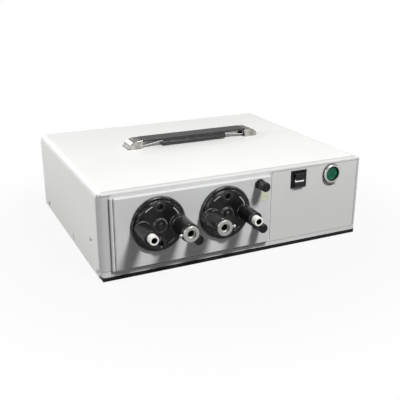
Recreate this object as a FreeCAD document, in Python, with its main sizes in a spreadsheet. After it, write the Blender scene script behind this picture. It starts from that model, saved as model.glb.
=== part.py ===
"""Fiber optic illuminator: a bench light source with two port turrets on a hinged door.

Frame: the origin is on the bench, under the middle of the whole object from the front ends of its
ports to its back. +X is to the right as the front is looked at, the front faces -Y, and +Z is up.
All lengths are in millimetres.
"""
import FreeCAD, Part
import math
import os
import Sketcher
from FreeCAD import Rotation, Vector

# Driving sizes, one cell of the sheet each. "Out" is a distance in front of the cabinet's front face.
SIZES = {
    # Cabinet
    "case_width": 400,
    "case_depth": 322,
    "case_height": 121.5,
    "overrun": 5,
    "same_place": 0.001,
    "gap": 0.3,
    "running_fit": 0.06,
    "press_fit": 0.03,
    # Base pan and feet
    "foot_drop": 1.5,
    "foot_radius": 10,
    "foot_inset": 34,
    "foot_stem_radius": 3.9,
    "foot_head_radius": 5.5,
    "foot_head_tall": 1.5,
    "strip_tall": 6,
    "pan_inset": 2.6,
    "pan_front_inset": 1,
    "pan_sheet": 1.5,
    "pan_flange_tall": 20,
    "pan_flange_setback": 24,
    "air_slots": 6,
    "air_slot_wide": 4,
    "air_slot_long": 60,
    "air_slot_pitch": 10,
    "air_slot_setback": 110,
    # Top cover
    "cover_sheet": 2,
    "cover_round": 9,
    "cover_foot_height": 4,
    "cover_seam": 0.4,
    "side_slot_wide": 2.6,
    "side_slot_tall": 10,
    "side_slot_height": 14,
    "side_slot_back": 136,
    # Front frame and corner posts
    "frame_deep": 8,
    "post_round": 7,
    "frame_foot_round": 4,
    "rail_round": 2.4,
    "post_left_wide": 17.4,
    "post_right_wide": 7,
    "post_bottom": 14.8,
    "post_seam": 0.8,
    "post_drop": 3.2,
    "rib_sheet": 2,
    "rib_deep": 10,
    "tab_deep": 36,
    "tab_tall": 14,
    # Cover screws
    "screw_head_radius": 3.2,
    "screw_head_tall": 1.3,
    "screw_head_round": 1,
    "screw_radius": 1.6,
    "screw_long": 6,
    "tab_screw_back": 40,
    "tab_screw_height": 48,
    "low_screw_back": 13,
    "low_screw_height": 13,
    "rear_screw_setback": 30,
    # Door
    "door_inset": 19,
    "door_right_share": 0.10875,
    "door_bottom": 16.5,
    "door_drop": 6.5,
    "door_thick": 6,
    "door_corner": 2,
    "door_bevel": 1.4,
    "door_lap_left": 5,
    "door_lap_right": 4.5,
    "opening_sill_share": 0.3143,
    "door_lap_top": 2.5,
    # Hinge
    "barrel_radius": 2,
    "barrel_out": 2.4,
    "barrel_setback": 2.4,
    "hinge_pin_radius": 1,
    "leaf_sheet": 1,
    "leaf_wide": 16,
    "knuckles": 5,
    # Turrets
    "turret_left_share": -0.3075,
    "turret_right_share": -0.06875,
    "turret_rise_share": 0.1941,
    "flange_radius": 37.4,
    "flange_thick": 3.6,
    "flange_bevel": 1.2,
    "disc_radius": 32,
    "disc_thick": 6.6,
    "disc_bevel": 1,
    "hub_radius": 9.5,
    "hub_thick": 8.6,
    "spigot_radius": 8,
    "thread_radius": 6.5,
    "turret_nut_radius": 11.5,
    "turret_nut_thick": 3,
    "port_circle": 24.5,
    "socket_circle": 25,
    "port_hole_radius": 7,
    "hub_screw_radius": 4.6,
    "hub_screw_tall": 2.4,
    "hub_screw_round": 1.8,
    "hub_screw_shank_radius": 2.5,
    "hub_screw_shank_long": 12,
    "screw_slot": 1.1,
    "screw_slot_deep": 1,
    "detent_radius": 2.5,
    "detent_tip_radius": 1.2,
    "detent_long": 4,
    "detent_circle": 34.5,
    "detent_dimple_radius": 1.5,
    "detent_dimple_deep": 0.5,
    # Slim port
    "port_collar_step": 0.8,
    "port_collar_thick": 3,
    "slim_radius": 10,
    "slim_end_out": 47,
    "port_collar_round": 0.6,
    "port_round": 1,
    "light_bore_radius": 4,
    "tip_radius": 6.25,
    "tip_bore_radius": 4,
    "tip_end_out": 56,
    "tip_seat_out": 25,
    "tip_bevel": 0.7,
    # Clamp port
    "clamp_radius": 12.2,
    "clamp_end_out": 52,
    "clamp_groove_out": 22,
    "clamp_groove_wide": 2,
    "clamp_groove_deep": 0.8,
    "lock_radius": 10.5,
    "lock_end_out": 57,
    "lock_shank_radius": 8.4,
    "lock_shank_long": 10,
    "lock_bore_radius": 4,
    "lock_mouth_radius": 6,
    "lock_mouth_deep": 4,
    "lock_bevel": 0.9,
    "lever_out": 54.65,
    "lever_neck_radius": 1.6,
    "lever_waist_radius": 1.2,
    "lever_neck_long": 1.2,
    "ball_radius": 2.35,
    "ball_sink": 0.6,
    # Flush sockets
    "socket_radius": 9,
    "socket_thick": 1,
    "socket_ring_radius": 6.5,
    "socket_ring_thick": 1.8,
    "socket_stem_radius": 6.2,
    "socket_bore_radius": 3.7,
    "socket_mouth_bevel": 0.9,
    # Knobs and their shafts
    "knob_left_share": -0.1825,
    "knob_right_share": 0.0575,
    "knob_drop": 26,
    "knob_radius": 7,
    "knob_body_radius": 6.5,
    "knob_waist_radius": 5.4,
    "knob_skirt_thick": 3,
    "knob_waist_long": 3,
    "knob_end_out": 26,
    "knob_round": 1.8,
    "skirt_round": 0.8,
    "shaft_radius": 3,
    "shaft_grip_long": 10,
    "bush_radius": 4.2,
    "bush_flange_radius": 6.4,
    "bush_flange_thick": 0.8,
    "bush_nut_radius": 5.8,
    "bush_nut_thick": 2,
    "vane_sheet": 1,
    "vane_depth": 4.4,
    "vane_radius": 13,
    "vane_arm_wide": 8,
    # Door latch
    "latch_share": 0.0625,
    "latch_drop": 9,
    "latch_clearance": 0.5,
    "pawl_thick": 2.5,
    "pawl_wide": 6,
    "pawl_long": 23,
    # Control panel
    "divider_wide": 5,
    "panel_inset": 7.4,
    "panel_bottom": 13.5,
    "panel_drop": 4.9,
    "panel_thick": 2,
    "panel_rim": 7.5,
    "panel_seam": 0.7,
    # Power switch
    "switch_share": 0.23,
    "switch_drop": 14.8,
    "switch_square": 25.4,
    "switch_proud": 1.5,
    "switch_body_square": 23,
    "switch_body_deep": 26,
    "well_wide": 17,
    "well_tall": 22.5,
    "well_deep": 12,
    "rocker_wide": 16.4,
    "rocker_tall": 19.6,
    "rocker_pivot_in": 3.4,
    "rocker_ridge_out": 2.6,
    "rocker_tip_out": 5.4,
    "rocker_back": 2.6,
    "rocker_tilt": 8,
    "pivot_radius": 1.2,
    "pivot_long": 1.2,
    "blade_wide": 6.3,
    "blade_thick": 0.8,
    "blade_long": 8,
    "blade_pitch": 8,
    # Push button
    "button_share": 0.3675,
    "button_drop": 13.6,
    "ring_radius": 13.6,
    "ring_bore_radius": 10.9,
    "ring_out": 4.9,
    "ring_round": 1.6,
    "gasket_radius": 14,
    "gasket_thick": 2.2,
    "lens_radius": 10.6,
    "lens_thick": 1.2,
    "lens_recess": 3,
    "lens_round": 0.9,
    "button_travel": 1.5,
    "stem_radius": 3.5,
    "stem_long": 14,
    "barrel_body_radius": 12,
    "barrel_body_long": 16,
    "ring_nut_radius": 15,
    "ring_nut_thick": 3,
    "contact_square": 26,
    "contact_long": 18,
    # Handle
    "handle_x": 11.8,
    "handle_back": 185.5,
    "handle_long": 220.5,
    "cap_long": 22,
    "cap_wide": 27,
    "cap_tall": 13,
    "cap_toe_tall": 4,
    "cap_toe_run": 2.6,
    "cap_toe_rise": 3.9,
    "cap_slope_run": 7,
    "cap_slope_drop": 2.3,
    "cap_flat_run": 13.2,
    "cap_round": 1.4,
    "cap_boss_radius": 3.2,
    "cap_wall": 2,
    "cap_clearance": 0.8,
    "grip_wide": 24,
    "grip_plate": 3,
    "grip_waist_wide": 21,
    "grip_bulge_tall": 5.5,
    "grip_bulge_round": 1.2,
    "grip_lift": 1.5,
    "window_long": 34,
    "strap_thick": 1.2,
    "strap_wide": 18,
    "strap_height": 8,
    "strap_tab_height": 3.4,
    "strap_tab_long": 12,
    "strap_slope_end": 3,
    "strap_slot_wide": 7,
    "strap_slot_long": 8.5,
    "handle_screw_radius": 2,
    "handle_screw_head_radius": 4,
    "handle_screw_head_tall": 2.6,
    "handle_screw_long": 13,
    # Lamp bay
    "partition_share": 0.13,
    "partition_sheet": 1.5,
    "partition_drop": 4.5,
    "partition_flange": 12,
    "cable_hole_radius": 8.5,
    "holder_setback": 19,
    "holder_sheet": 2,
    "holder_wide": 46,
    "holder_drop": 15.5,
    "holder_foot": 14,
    "holder_ring_radius": 17,
    "holder_ring_long": 12,
    "glass_radius": 14,
    "glass_thick": 3,
    "lens_glass_thick": 5,
    "lens_glass_round": 3,
    "holder_stop": 2,
    "lamp_setback": 38,
    "lamp_radius": 20,
    "lamp_long": 46,
    "lamp_window_radius": 15,
    "lamp_window_deep": 5,
    "lamp_dish_radius": 7,
    "lamp_step": 2,
    "lamp_stud_radius": 4,
    "lamp_stud_long": 12,
    "sink_ring_radius": 26,
    "sink_square": 60,
    "sink_long": 15,
    "sink_fins": 11,
    "sink_fin_thick": 1.6,
    "stand_wide": 22,
    "igniter_wide": 46,
    "igniter_long": 52,
    "igniter_tall": 34,
    "igniter_setback": 108,
    "igniter_post_radius": 5,
    "igniter_post_tall": 14,
    # Lamp supply
    "board_gap": 10,
    "board_inset": 14,
    "board_front_back": 50,
    "board_rear_gap": 53.5,
    "board_thick": 1.6,
    "board_stand": 11,
    "standoff_radius": 3.5,
    "board_screw_inset": 7,
    "coil_wide": 52,
    "coil_long": 44,
    "coil_tall": 46,
    "coil_leg": 11,
    "coil_winding": 7,
    "can_radius": 12,
    "can_tall": 38,
    "can_pitch": 30,
    "rack_wide": 100,
    "rack_long": 20,
    "rack_tall": 50,
    "rack_base": 4,
    "rack_fins": 4,
    "rack_fin_thick": 1.8,
    # Rear panel, fans, inlet and earth stud
    "rear_recess": 5,
    "rear_sheet": 1.5,
    "rear_bottom": 3.4,
    "fan_left_share": -0.305,
    "fan_right_share": -0.055,
    "fan_lift": 0.25,
    "fan_square": 80,
    "fan_deep": 25,
    "fan_bore_radius": 38,
    "fan_corner": 4,
    "fan_hub_radius": 17,
    "fan_hub_deep": 16,
    "fan_hub_wall": 1.5,
    "fan_blades": 7,
    "fan_blade_thick": 1.6,
    "fan_blade_pitch": 42,
    "fan_clearance": 1.2,
    "fan_strut_wide": 4,
    "fan_motor_deep": 4,
    "fan_spindle_radius": 2,
    "fan_spindle_long": 15,
    "guard_wire": 0.9,
    "guard_rings": 4,
    "guard_screw_circle": 35.7,
    "inlet_share": 0.35,
    "inlet_height": 46,
    "inlet_flange_wide": 32,
    "inlet_flange_tall": 62,
    "inlet_flange_thick": 2.4,
    "inlet_body_wide": 27,
    "inlet_body_tall": 47,
    "inlet_body_deep": 30,
    "mouth_wide": 24,
    "mouth_tall": 16.5,
    "mouth_deep": 17,
    "mouth_rise": 12,
    "pin_wide": 2,
    "pin_tall": 4,
    "pin_long": 14,
    "pin_spread": 7,
    "pin_rise": 4,
    "drawer_wide": 22,
    "drawer_tall": 12,
    "drawer_deep": 20,
    "drawer_drop": 12,
    "drawer_lip": 1.4,
    "drawer_lip_thick": 1.6,
    "stud_share": 0.23,
    "stud_radius": 3,
    "stud_long": 4,
    "stud_nut_radius": 5.5,
}

doc = FreeCAD.newDocument("illuminator")
sheet = doc.addObject("Spreadsheet::Sheet", "Sizes")
nodes = []


class Size:
    """A length that knows both its value and the sheet formula that gives it."""

    def __init__(self, value, formula):
        self.value = value
        self.formula = formula

    def join(self, other, sign, value):
        return Size(value, f"({self.formula} {sign} {formula_of(other)})")

    def __add__(self, other):
        return self.join(other, "+", self.value + value_of(other))

    def __sub__(self, other):
        return self.join(other, "-", self.value - value_of(other))

    def __mul__(self, other):
        return self.join(other, "*", self.value * value_of(other))

    def __truediv__(self, other):
        return self.join(other, "/", self.value / value_of(other))

    def __rsub__(self, other):
        return Size(other - self.value, f"({formula_of(other)} - {self.formula})")

    def __radd__(self, other):
        return self + other

    def __rmul__(self, other):
        return self * other

    def __neg__(self):
        return 0 - self


def value_of(length):
    """The plain value of a size, or of zero."""
    return length.value if isinstance(length, Size) else length


def formula_of(length):
    """The sheet formula of a size, or the text of a plain ratio."""
    return length.formula if isinstance(length, Size) else f"({length!r})"


def fill_sheet():
    """Write each driving size to its own cell, with its alias."""
    for row, (alias, value) in enumerate(SIZES.items(), start=1):
        sheet.set(f"A{row}", alias)
        sheet.set(f"B{row}", str(value))
        sheet.setAlias(f"B{row}", alias)
    doc.recompute()


class Named:
    """Gives each alias as a Size, so that sizes read as s.case_width."""

    def __getattr__(self, alias):
        return Size(SIZES[alias], f"Sizes.{alias}")


fill_sheet()
s = Named()

# Planes that many pieces share
FRONT = (s.lock_end_out - s.case_depth) / 2
BACK = (s.lock_end_out + s.case_depth) / 2
HANDLE_Y = FRONT + s.handle_back
SIDE = s.case_width / 2
PAN_FLOOR = s.foot_drop + s.pan_sheet
STRIP_TOP = s.foot_drop + s.strip_tall
COVER_INSIDE = SIDE - s.cover_sheet
COVER_ROOF = s.case_height - s.cover_sheet
FRAME_BACK = FRONT + s.frame_deep
REAR_FACE = BACK - s.rear_recess
REAR_INSIDE = REAR_FACE - s.rear_sheet
DOOR_BACK_OUT = s.gap
DOOR_FACE_OUT = s.gap + s.door_thick
TURRET_BACK_OUT = DOOR_FACE_OUT + s.gap
DISC_OUT = TURRET_BACK_OUT + s.disc_thick
DOOR_LEFT = s.door_inset - SIDE
DOOR_RIGHT = s.case_width * s.door_right_share
DOOR_TOP = s.case_height - s.door_drop
DOOR_SPARE = DOOR_TOP - s.door_bottom - s.flange_radius * 2
TURRET_Z = DOOR_TOP - s.flange_radius - DOOR_SPARE * s.turret_rise_share
KNOB_Z = TURRET_Z - s.knob_drop
OPENING_BOTTOM = s.door_bottom + (KNOB_Z - s.vane_radius - s.door_bottom) * s.opening_sill_share
LATCH_X = s.case_width * s.latch_share
LATCH_Z = DOOR_TOP - s.latch_drop
PANEL_LEFT = DOOR_RIGHT + s.divider_wide
PANEL_RIGHT = SIDE - s.panel_inset
PANEL_TOP = s.case_height - s.panel_drop
SWITCH_X = s.case_width * s.switch_share
SWITCH_Z = PANEL_TOP - s.switch_drop
BUTTON_X = s.case_width * s.button_share
BUTTON_Z = PANEL_TOP - s.button_drop
PARTITION_X = s.case_width * s.partition_share
FAN_PLACES = (("left", s.case_width * s.fan_left_share), ("right", s.case_width * s.fan_right_share))
FAN_Z = COVER_ROOF / 2 + s.fan_lift
INLET_X = s.case_width * s.inlet_share
STUD_X = s.case_width * s.stud_share
TO_FRONT = Rotation(Vector(1, 0, 0), 90)
TO_BACK = Rotation(Vector(1, 0, 0), -90)
TO_RIGHT = Rotation(Vector(0, 1, 0), 90)
UPRIGHT = Rotation()
TURRETS = (("left", s.case_width * s.turret_left_share, s.case_width * s.knob_left_share, 1),
           ("right", s.case_width * s.turret_right_share, s.case_width * s.knob_right_share, -1))


def bind(item, prop, length):
    """Bind a property to the sheet; a plain zero needs no binding."""
    if isinstance(length, Size):
        item.setExpression(prop, length.formula)


def place(item, x, y, z, turn=UPRIGHT):
    """Turn an object and put its own origin at a bound place."""
    item.Placement = FreeCAD.Placement(Vector(value_of(x), value_of(y), value_of(z)), turn)
    bind(item, "Placement.Base.x", x)
    bind(item, "Placement.Base.y", y)
    bind(item, "Placement.Base.z", z)
    return item


def node(item, name):
    """Name an object as a finished sub-part."""
    item.Label = name
    nodes.append(item)
    return item


def block(x, y, z):
    """A box between two places along each axis."""
    item = doc.addObject("Part::Box", "Block")
    for prop, (low, high) in (("Length", x), ("Width", y), ("Height", z)):
        bind(item, prop, span(low, high))
    return place(item, x[0], y[0], z[0])


def span(low, high):
    """The distance between two places, either of which may be zero."""
    return high - low if isinstance(high, Size) else -low


def around(middle, size):
    """The two ends of a size centred on a place."""
    return middle - size / 2, middle + size / 2


def rod(x, y, z, radius, length, turn=UPRIGHT):
    """A cylinder from a place, along +Z turned."""
    item = doc.addObject("Part::Cylinder", "Rod")
    bind(item, "Radius", radius)
    bind(item, "Height", length)
    return place(item, x, y, z, turn)


def ring(x, y, z, radius, wire, turn=UPRIGHT):
    """A ring of round wire about +Z turned."""
    item = doc.addObject("Part::Torus", "Ring")
    bind(item, "Radius1", radius)
    bind(item, "Radius2", wire)
    return place(item, x, y, z, turn)


def hexagon(x, y, z, radius, length, turn=UPRIGHT):
    """A six-sided prism from a place, along +Z turned; the radius is to its corners."""
    item = doc.addObject("Part::Prism", "Hexagon")
    item.Polygon = 6
    bind(item, "Circumradius", radius)
    bind(item, "Height", length)
    return place(item, x, y, z, turn)


def fuse(*parts):
    """Join solids into one."""
    item = doc.addObject("Part::MultiFuse", "Join")
    item.Shapes = list(parts)
    return item


def cut(base, *tools):
    """Take solids out of one."""
    item = doc.addObject("Part::Cut", "Cut")
    item.Base = base
    item.Tool = tools[0] if len(tools) == 1 else fuse(*tools)
    return item


def common(first, second):
    """Keep what two solids share."""
    item = doc.addObject("Part::Common", "Common")
    item.Base = first
    item.Tool = second
    return item


def group(*parts):
    """Keep separate solids together in one sub-part."""
    item = doc.addObject("Part::Compound", "Group")
    item.Links = list(parts)
    return item


def origin_plane(body, role):
    """One of a body's own origin planes."""
    return [plane for plane in body.Origin.OriginFeatures if plane.Role == role][0]


def outline(body, role, offset, *loops):
    """A sketch of closed loops: a list of corners each, or (x, y, radius) for a circle."""
    sketch = body.newObject("Sketcher::SketchObject", "Outline")
    sketch.AttachmentSupport = [(origin_plane(body, role), "")]
    sketch.MapMode = "FlatFace"
    bind(sketch, "AttachmentOffset.Base.z", offset)
    for loop in loops:
        if isinstance(loop, tuple):
            draw_circle(sketch, *loop)
        else:
            draw_corners(sketch, loop)
    return sketch


def hold(sketch, kind, item, point, length):
    """Fix a point's distance from the sketch's origin, bound to the sheet."""
    index = sketch.addConstraint(Sketcher.Constraint(kind, -1, 1, item, point, value_of(length)))
    bind(sketch, f"Constraints[{index}]", length)


def draw_corners(sketch, corners):
    """A closed run of straight lines through corners held by the sheet."""
    first = sketch.GeometryCount
    places = [Vector(value_of(x), value_of(y), 0) for x, y in corners]
    following = places[1:] + places[:1]
    for start, end in zip(places, following):
        sketch.addGeometry(Part.LineSegment(start, end), False)
    for index in range(len(corners)):
        after = first + (index + 1) % len(corners)
        sketch.addConstraint(Sketcher.Constraint("Coincident", first + index, 2, after, 1))
    for index, (x, y) in enumerate(corners):
        hold(sketch, "DistanceX", first + index, 1, x)
        hold(sketch, "DistanceY", first + index, 1, y)


def draw_circle(sketch, x, y, radius):
    """A circle held by the sheet."""
    centre = Vector(value_of(x), value_of(y), 0)
    item = sketch.addGeometry(Part.Circle(centre, Vector(0, 0, 1), value_of(radius)), False)
    hold(sketch, "DistanceX", item, 3, x)
    hold(sketch, "DistanceY", item, 3, y)
    index = sketch.addConstraint(Sketcher.Constraint("Radius", item, value_of(radius)))
    bind(sketch, f"Constraints[{index}]", radius)


def new_body():
    """An empty part-design body."""
    return doc.addObject("PartDesign::Body", "Body")


def rectangle(x, y):
    """The corners of a rectangle between two places along each axis."""
    return [(x[0], y[0]), (x[1], y[0]), (x[1], y[1]), (x[0], y[1])]


def pad(body, sketch, length):
    """Raise a sketch along its plane's normal."""
    item = body.newObject("PartDesign::Pad", "Pad")
    item.Profile = sketch
    bind(item, "Length", length)
    doc.recompute()
    return item


def pocket(body, sketch, depth, along_normal=False):
    """Sink a sketch into the solid, against its plane's normal or along it."""
    item = body.newObject("PartDesign::Pocket", "Pocket")
    item.Profile = sketch
    item.Reversed = along_normal
    bind(item, "Length", depth)
    doc.recompute()
    return item


def edges_where(shape, test):
    """The names of the edges that pass a test."""
    return [f"Edge{index}" for index, edge in enumerate(shape.Edges, start=1) if test(edge)]


def near(value, length):
    """Whether a coordinate is at a named place."""
    return abs(value - value_of(length)) < s.same_place.value


def runs(edge, axis):
    """Whether an edge is straight along an axis."""
    box = edge.BoundBox
    spans = {"x": box.XLength, "y": box.YLength, "z": box.ZLength}
    others = [spans[key] for key in spans if key != axis]
    return near(max(others), 0) and spans[axis] > 0


def soften(body, kind, size, test):
    """Fillet or chamfer the edges of a body that pass a test."""
    base = body.Tip
    item = body.newObject(f"PartDesign::{kind}", kind)
    item.Base = (base, edges_where(base.Shape, test))
    bind(item, "Radius" if kind == "Fillet" else "Size", size)
    doc.recompute()
    return item


def turned(profile, x, out, z, turn=TO_FRONT):
    """A body of revolution from corners (radius, along), its own axis pointing to the front."""
    body = new_body()
    sketch = outline(body, "XZ_Plane", 0, profile)
    item = body.newObject("PartDesign::Revolution", "Turn")
    item.Profile = sketch
    item.ReferenceAxis = (sketch, ["V_Axis"])
    item.Angle = 360
    return place(body, x, FRONT - out if isinstance(out, Size) else FRONT, z, turn)


def rounded(body, size, *rims):
    """Round the circular edges of a turned body that lie at (radius, along)."""
    def is_rim(edge):
        box = edge.BoundBox
        return any(near(box.ZMin, along) and near(box.ZMax, along) and near(box.XLength / 2, radius)
                   for radius, along in rims)
    doc.recompute()
    soften(body, "Fillet", size, is_rim)
    return body


def base_pan():
    """Black sheet tray: its front edge is the dark strip below, its flanges take the cover screws."""
    wide = around(0, s.case_width - s.pan_inset * 2)
    deep = (FRONT + s.pan_front_inset, BACK - s.pan_front_inset)
    shell = block(wide, deep, (s.foot_drop, STRIP_TOP))
    inside = block((wide[0] + s.pan_sheet, wide[1] - s.pan_sheet),
                   (deep[0] + s.pan_sheet, deep[1] - s.pan_sheet), (PAN_FLOOR, STRIP_TOP + s.overrun))
    along = (FRONT + s.pan_flange_setback, BACK - s.pan_flange_setback)
    up = (PAN_FLOOR, PAN_FLOOR + s.pan_flange_tall)
    flanges = [block((wide[0], wide[0] + s.pan_sheet), along, up),
               block((wide[1] - s.pan_sheet, wide[1]), along, up)]
    holes = [rod(x, y, s.foot_drop - s.overrun, s.foot_stem_radius + s.gap, s.overrun * 2 + s.pan_sheet)
             for x, y in foot_places()]
    for index in range(SIZES["air_slots"]):
        x = TURRETS[0][1] + s.air_slot_pitch * index
        holes.append(block(around(x, s.air_slot_wide), around(BACK - s.air_slot_setback, s.air_slot_long),
                           (s.foot_drop - s.overrun, PAN_FLOOR + s.overrun)))
    rear_holes = [rod(side, BACK - s.rear_screw_setback, s.low_screw_height, s.screw_radius + s.press_fit,
                      s.pan_sheet * 2 + s.overrun * 2, TO_RIGHT)
                  for side in (wide[0] - s.overrun, wide[1] - s.overrun - s.pan_sheet)]
    node(cut(fuse(cut(shell, inside), *flanges), *holes, *rear_holes), "base_pan")


def foot_places():
    """The middles of the four feet."""
    return [(x, y) for x in (-SIDE + s.foot_inset, SIDE - s.foot_inset)
            for y in (FRONT + s.foot_inset, BACK - s.foot_inset)]


def feet():
    """Four push-in rubber feet."""
    head = PAN_FLOOR + s.gap / 3
    profile = [(0, 0), (s.foot_radius - s.foot_drop / 2, 0), (s.foot_radius, s.foot_drop / 2),
               (s.foot_radius, s.foot_drop), (s.foot_stem_radius, s.foot_drop), (s.foot_stem_radius, head),
               (s.foot_head_radius, head), (s.foot_stem_radius, head + s.foot_head_tall),
               (0, head + s.foot_head_tall)]
    made = []
    for x, y in foot_places():
        foot = turned(profile, x, 0, 0, UPRIGHT)
        made.append(place(foot, x, y, 0))
    node(group(*made), "feet")


def arched_bar(side, low, high, radius, front, back):
    """A bar along Y with both top edges rounded."""
    body = new_body()
    end = outline(body, "XZ_Plane", -back, rectangle((-side, side), (low, high)))
    pad(body, end, back - front)
    soften(body, "Fillet", radius, lambda edge: runs(edge, "y") and near(edge.CenterOfMass.z, high))
    return body


def top_cover():
    """White wrapped sheet cover with rounded long edges, a side slot and screw holes."""
    outside = arched_bar(SIDE, s.cover_foot_height, s.case_height, s.cover_round,
                         FRAME_BACK + s.cover_seam, BACK)
    inside = arched_bar(COVER_INSIDE, s.cover_foot_height - s.overrun, COVER_ROOF,
                        s.cover_round - s.cover_sheet, FRAME_BACK - s.overrun, BACK + s.overrun)
    slot = block((-SIDE - s.overrun, -COVER_INSIDE + s.overrun),
                 around(FRONT + s.side_slot_back, s.side_slot_wide),
                 around(s.side_slot_height, s.side_slot_tall))
    holes = [rod(-SIDE - s.overrun, y, z, s.screw_radius + s.gap, s.case_width + s.overrun * 2, TO_RIGHT)
             for y, z in screw_places()]
    holes += [rod(x, HANDLE_Y, COVER_ROOF - s.overrun, s.handle_screw_radius + s.gap,
                  s.cover_sheet + s.overrun * 2) for x in handle_screw_places()]
    node(cut(outside, inside, slot, *holes), "top_cover")


def screw_places():
    """The places (y, z) of the side screws: front tab, front rib and rear flange."""
    return [(FRONT + s.tab_screw_back, s.tab_screw_height), (FRONT + s.low_screw_back, s.low_screw_height),
            (BACK - s.rear_screw_setback, s.low_screw_height)]


def case_screws():
    """Six small domed screws that hold the cover at its sides, and the two that hold the handle."""
    top = s.screw_head_tall
    profile = [(0, 0), (s.screw_head_radius, 0), (s.screw_head_radius, top), (0, top)]
    made = []
    for side, turn, inward in ((SIDE, TO_RIGHT, -1), (-SIDE, Rotation(Vector(0, 1, 0), -90), 1)):
        for y, z in screw_places():
            head = rounded(place(turned(profile, side, 0, z, turn), side, y, z, turn), s.screw_head_round,
                           (s.screw_head_radius, top))
            start = side - s.screw_long if inward < 0 else side
            made.append(fuse(head, rod(start, y, z, s.screw_radius, s.screw_long, TO_RIGHT)))
    low = COVER_ROOF - s.handle_screw_head_tall
    for x in handle_screw_places():
        head = rod(x, HANDLE_Y, low, s.handle_screw_head_radius, s.handle_screw_head_tall)
        made.append(fuse(head, rod(x, HANDLE_Y, low, s.handle_screw_radius, s.handle_screw_long)))
    node(group(*made), "case_screws")


def frame_blank():
    """The rounded outline that the front frame and the corner posts are cut from."""
    face = new_body()
    back = outline(face, "XZ_Plane", -FRAME_BACK, rectangle((-SIDE, SIDE), (STRIP_TOP, s.case_height)))
    pad(face, back, s.frame_deep)
    soften(face, "Fillet", s.cover_round, lambda edge: runs(edge, "y") and
           near(edge.CenterOfMass.z, s.case_height))
    soften(face, "Fillet", s.frame_foot_round, lambda edge: runs(edge, "y") and
           near(edge.CenterOfMass.z, STRIP_TOP))
    plan = new_body()
    low = outline(plan, "XY_Plane", s.foot_drop, rectangle((-SIDE, SIDE), (FRONT, FRAME_BACK)))
    pad(plan, low, s.case_height)
    soften(plan, "Fillet", s.post_round, lambda edge: runs(edge, "z") and near(edge.CenterOfMass.y, FRONT))
    side = new_body()
    profile = outline(side, "YZ_Plane", -SIDE, rectangle((FRONT, FRAME_BACK), (s.foot_drop, s.case_height)))
    pad(side, profile, s.case_width)
    soften(side, "Fillet", s.rail_round, lambda edge: runs(edge, "x") and near(edge.CenterOfMass.y, FRONT)
           and near(edge.CenterOfMass.z, s.case_height))
    return common(common(face, plan), side)


def post_spaces(clearance, seam):
    """The two columns of the front that the corner posts fill."""
    height = (s.post_bottom + seam, s.case_height - s.post_drop - seam)
    deep = (FRONT - s.overrun, FRAME_BACK + s.overrun)
    left = -SIDE + s.post_left_wide
    right = SIDE - s.post_right_wide
    return [block((-SIDE - s.overrun, left - clearance), deep, height),
            block((right + clearance, SIDE + s.overrun), deep, height)]


def front_frame(blank):
    """Silver-grey front frame: top and bottom rails, the divider, a rear rib and two cover tabs."""
    clear = (FRONT - s.overrun, FRAME_BACK + s.overrun)
    door_opening = block((DOOR_LEFT + s.door_lap_left, DOOR_RIGHT - s.door_lap_right), clear,
                         (OPENING_BOTTOM, DOOR_TOP - s.door_lap_top))
    seam = s.panel_seam
    seat = block((PANEL_LEFT - seam, PANEL_RIGHT + seam), (FRONT - s.overrun, FRONT + s.panel_thick),
                 (s.panel_bottom - seam, PANEL_TOP + seam))
    panel_opening = block((PANEL_LEFT + s.panel_rim, PANEL_RIGHT - s.panel_rim), clear,
                          (s.panel_bottom + s.panel_rim, PANEL_TOP))
    face = cut(blank, door_opening, seat, panel_opening, *post_spaces(0, 0))
    rib_out = COVER_INSIDE - s.gap
    rib_top = COVER_ROOF - s.gap
    deep = (FRAME_BACK, FRAME_BACK + s.rib_deep)
    through = (FRONT, FRAME_BACK + s.rib_deep + s.overrun)
    rib = cut(block((-rib_out, rib_out), deep, (STRIP_TOP + s.gap, rib_top)),
              block((-rib_out + s.rib_sheet, rib_out - s.rib_sheet), through,
                    (STRIP_TOP + s.gap + s.rib_sheet, rib_top - s.rib_sheet)))
    corner = s.cover_round - s.cover_sheet
    corners = [block(x, through, (rib_top - corner, rib_top + s.overrun))
               for x in ((-rib_out - s.overrun, -rib_out + corner), (rib_out - corner, rib_out + s.overrun))]
    height = around(s.tab_screw_height, s.tab_tall)
    tabs = [block(x, (FRAME_BACK, FRAME_BACK + s.tab_deep), height)
            for x in ((-rib_out, -rib_out + s.rib_sheet), (rib_out - s.rib_sheet, rib_out))]
    holes = [rod(-SIDE, y, z, s.screw_radius + s.press_fit, s.case_width, TO_RIGHT)
             for y, z in screw_places()[:2]]
    node(fuse(face, cut(fuse(cut(rib, *corners), *tabs), *holes)), "front_frame")


def corner_posts(blank):
    """Two rounded posts that stand between the rails at the front corners."""
    node(group(*[common(blank, space) for space in post_spaces(s.gap / 2, s.post_seam)]), "corner_posts")


def control_panel():
    """Plain panel sunk flush in the frame, with the holes for the switch and the button."""
    body = new_body()
    face = outline(body, "XZ_Plane", -FRONT - s.panel_thick,
                   rectangle((PANEL_LEFT, PANEL_RIGHT), (s.panel_bottom, PANEL_TOP)),
                   rectangle(around(SWITCH_X, s.switch_body_square + s.gap * 2),
                             around(SWITCH_Z, s.switch_body_square + s.gap * 2)),
                   (BUTTON_X, BUTTON_Z, s.barrel_body_radius + s.gap))
    pad(body, face, s.panel_thick)
    node(body, "control_panel")


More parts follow.
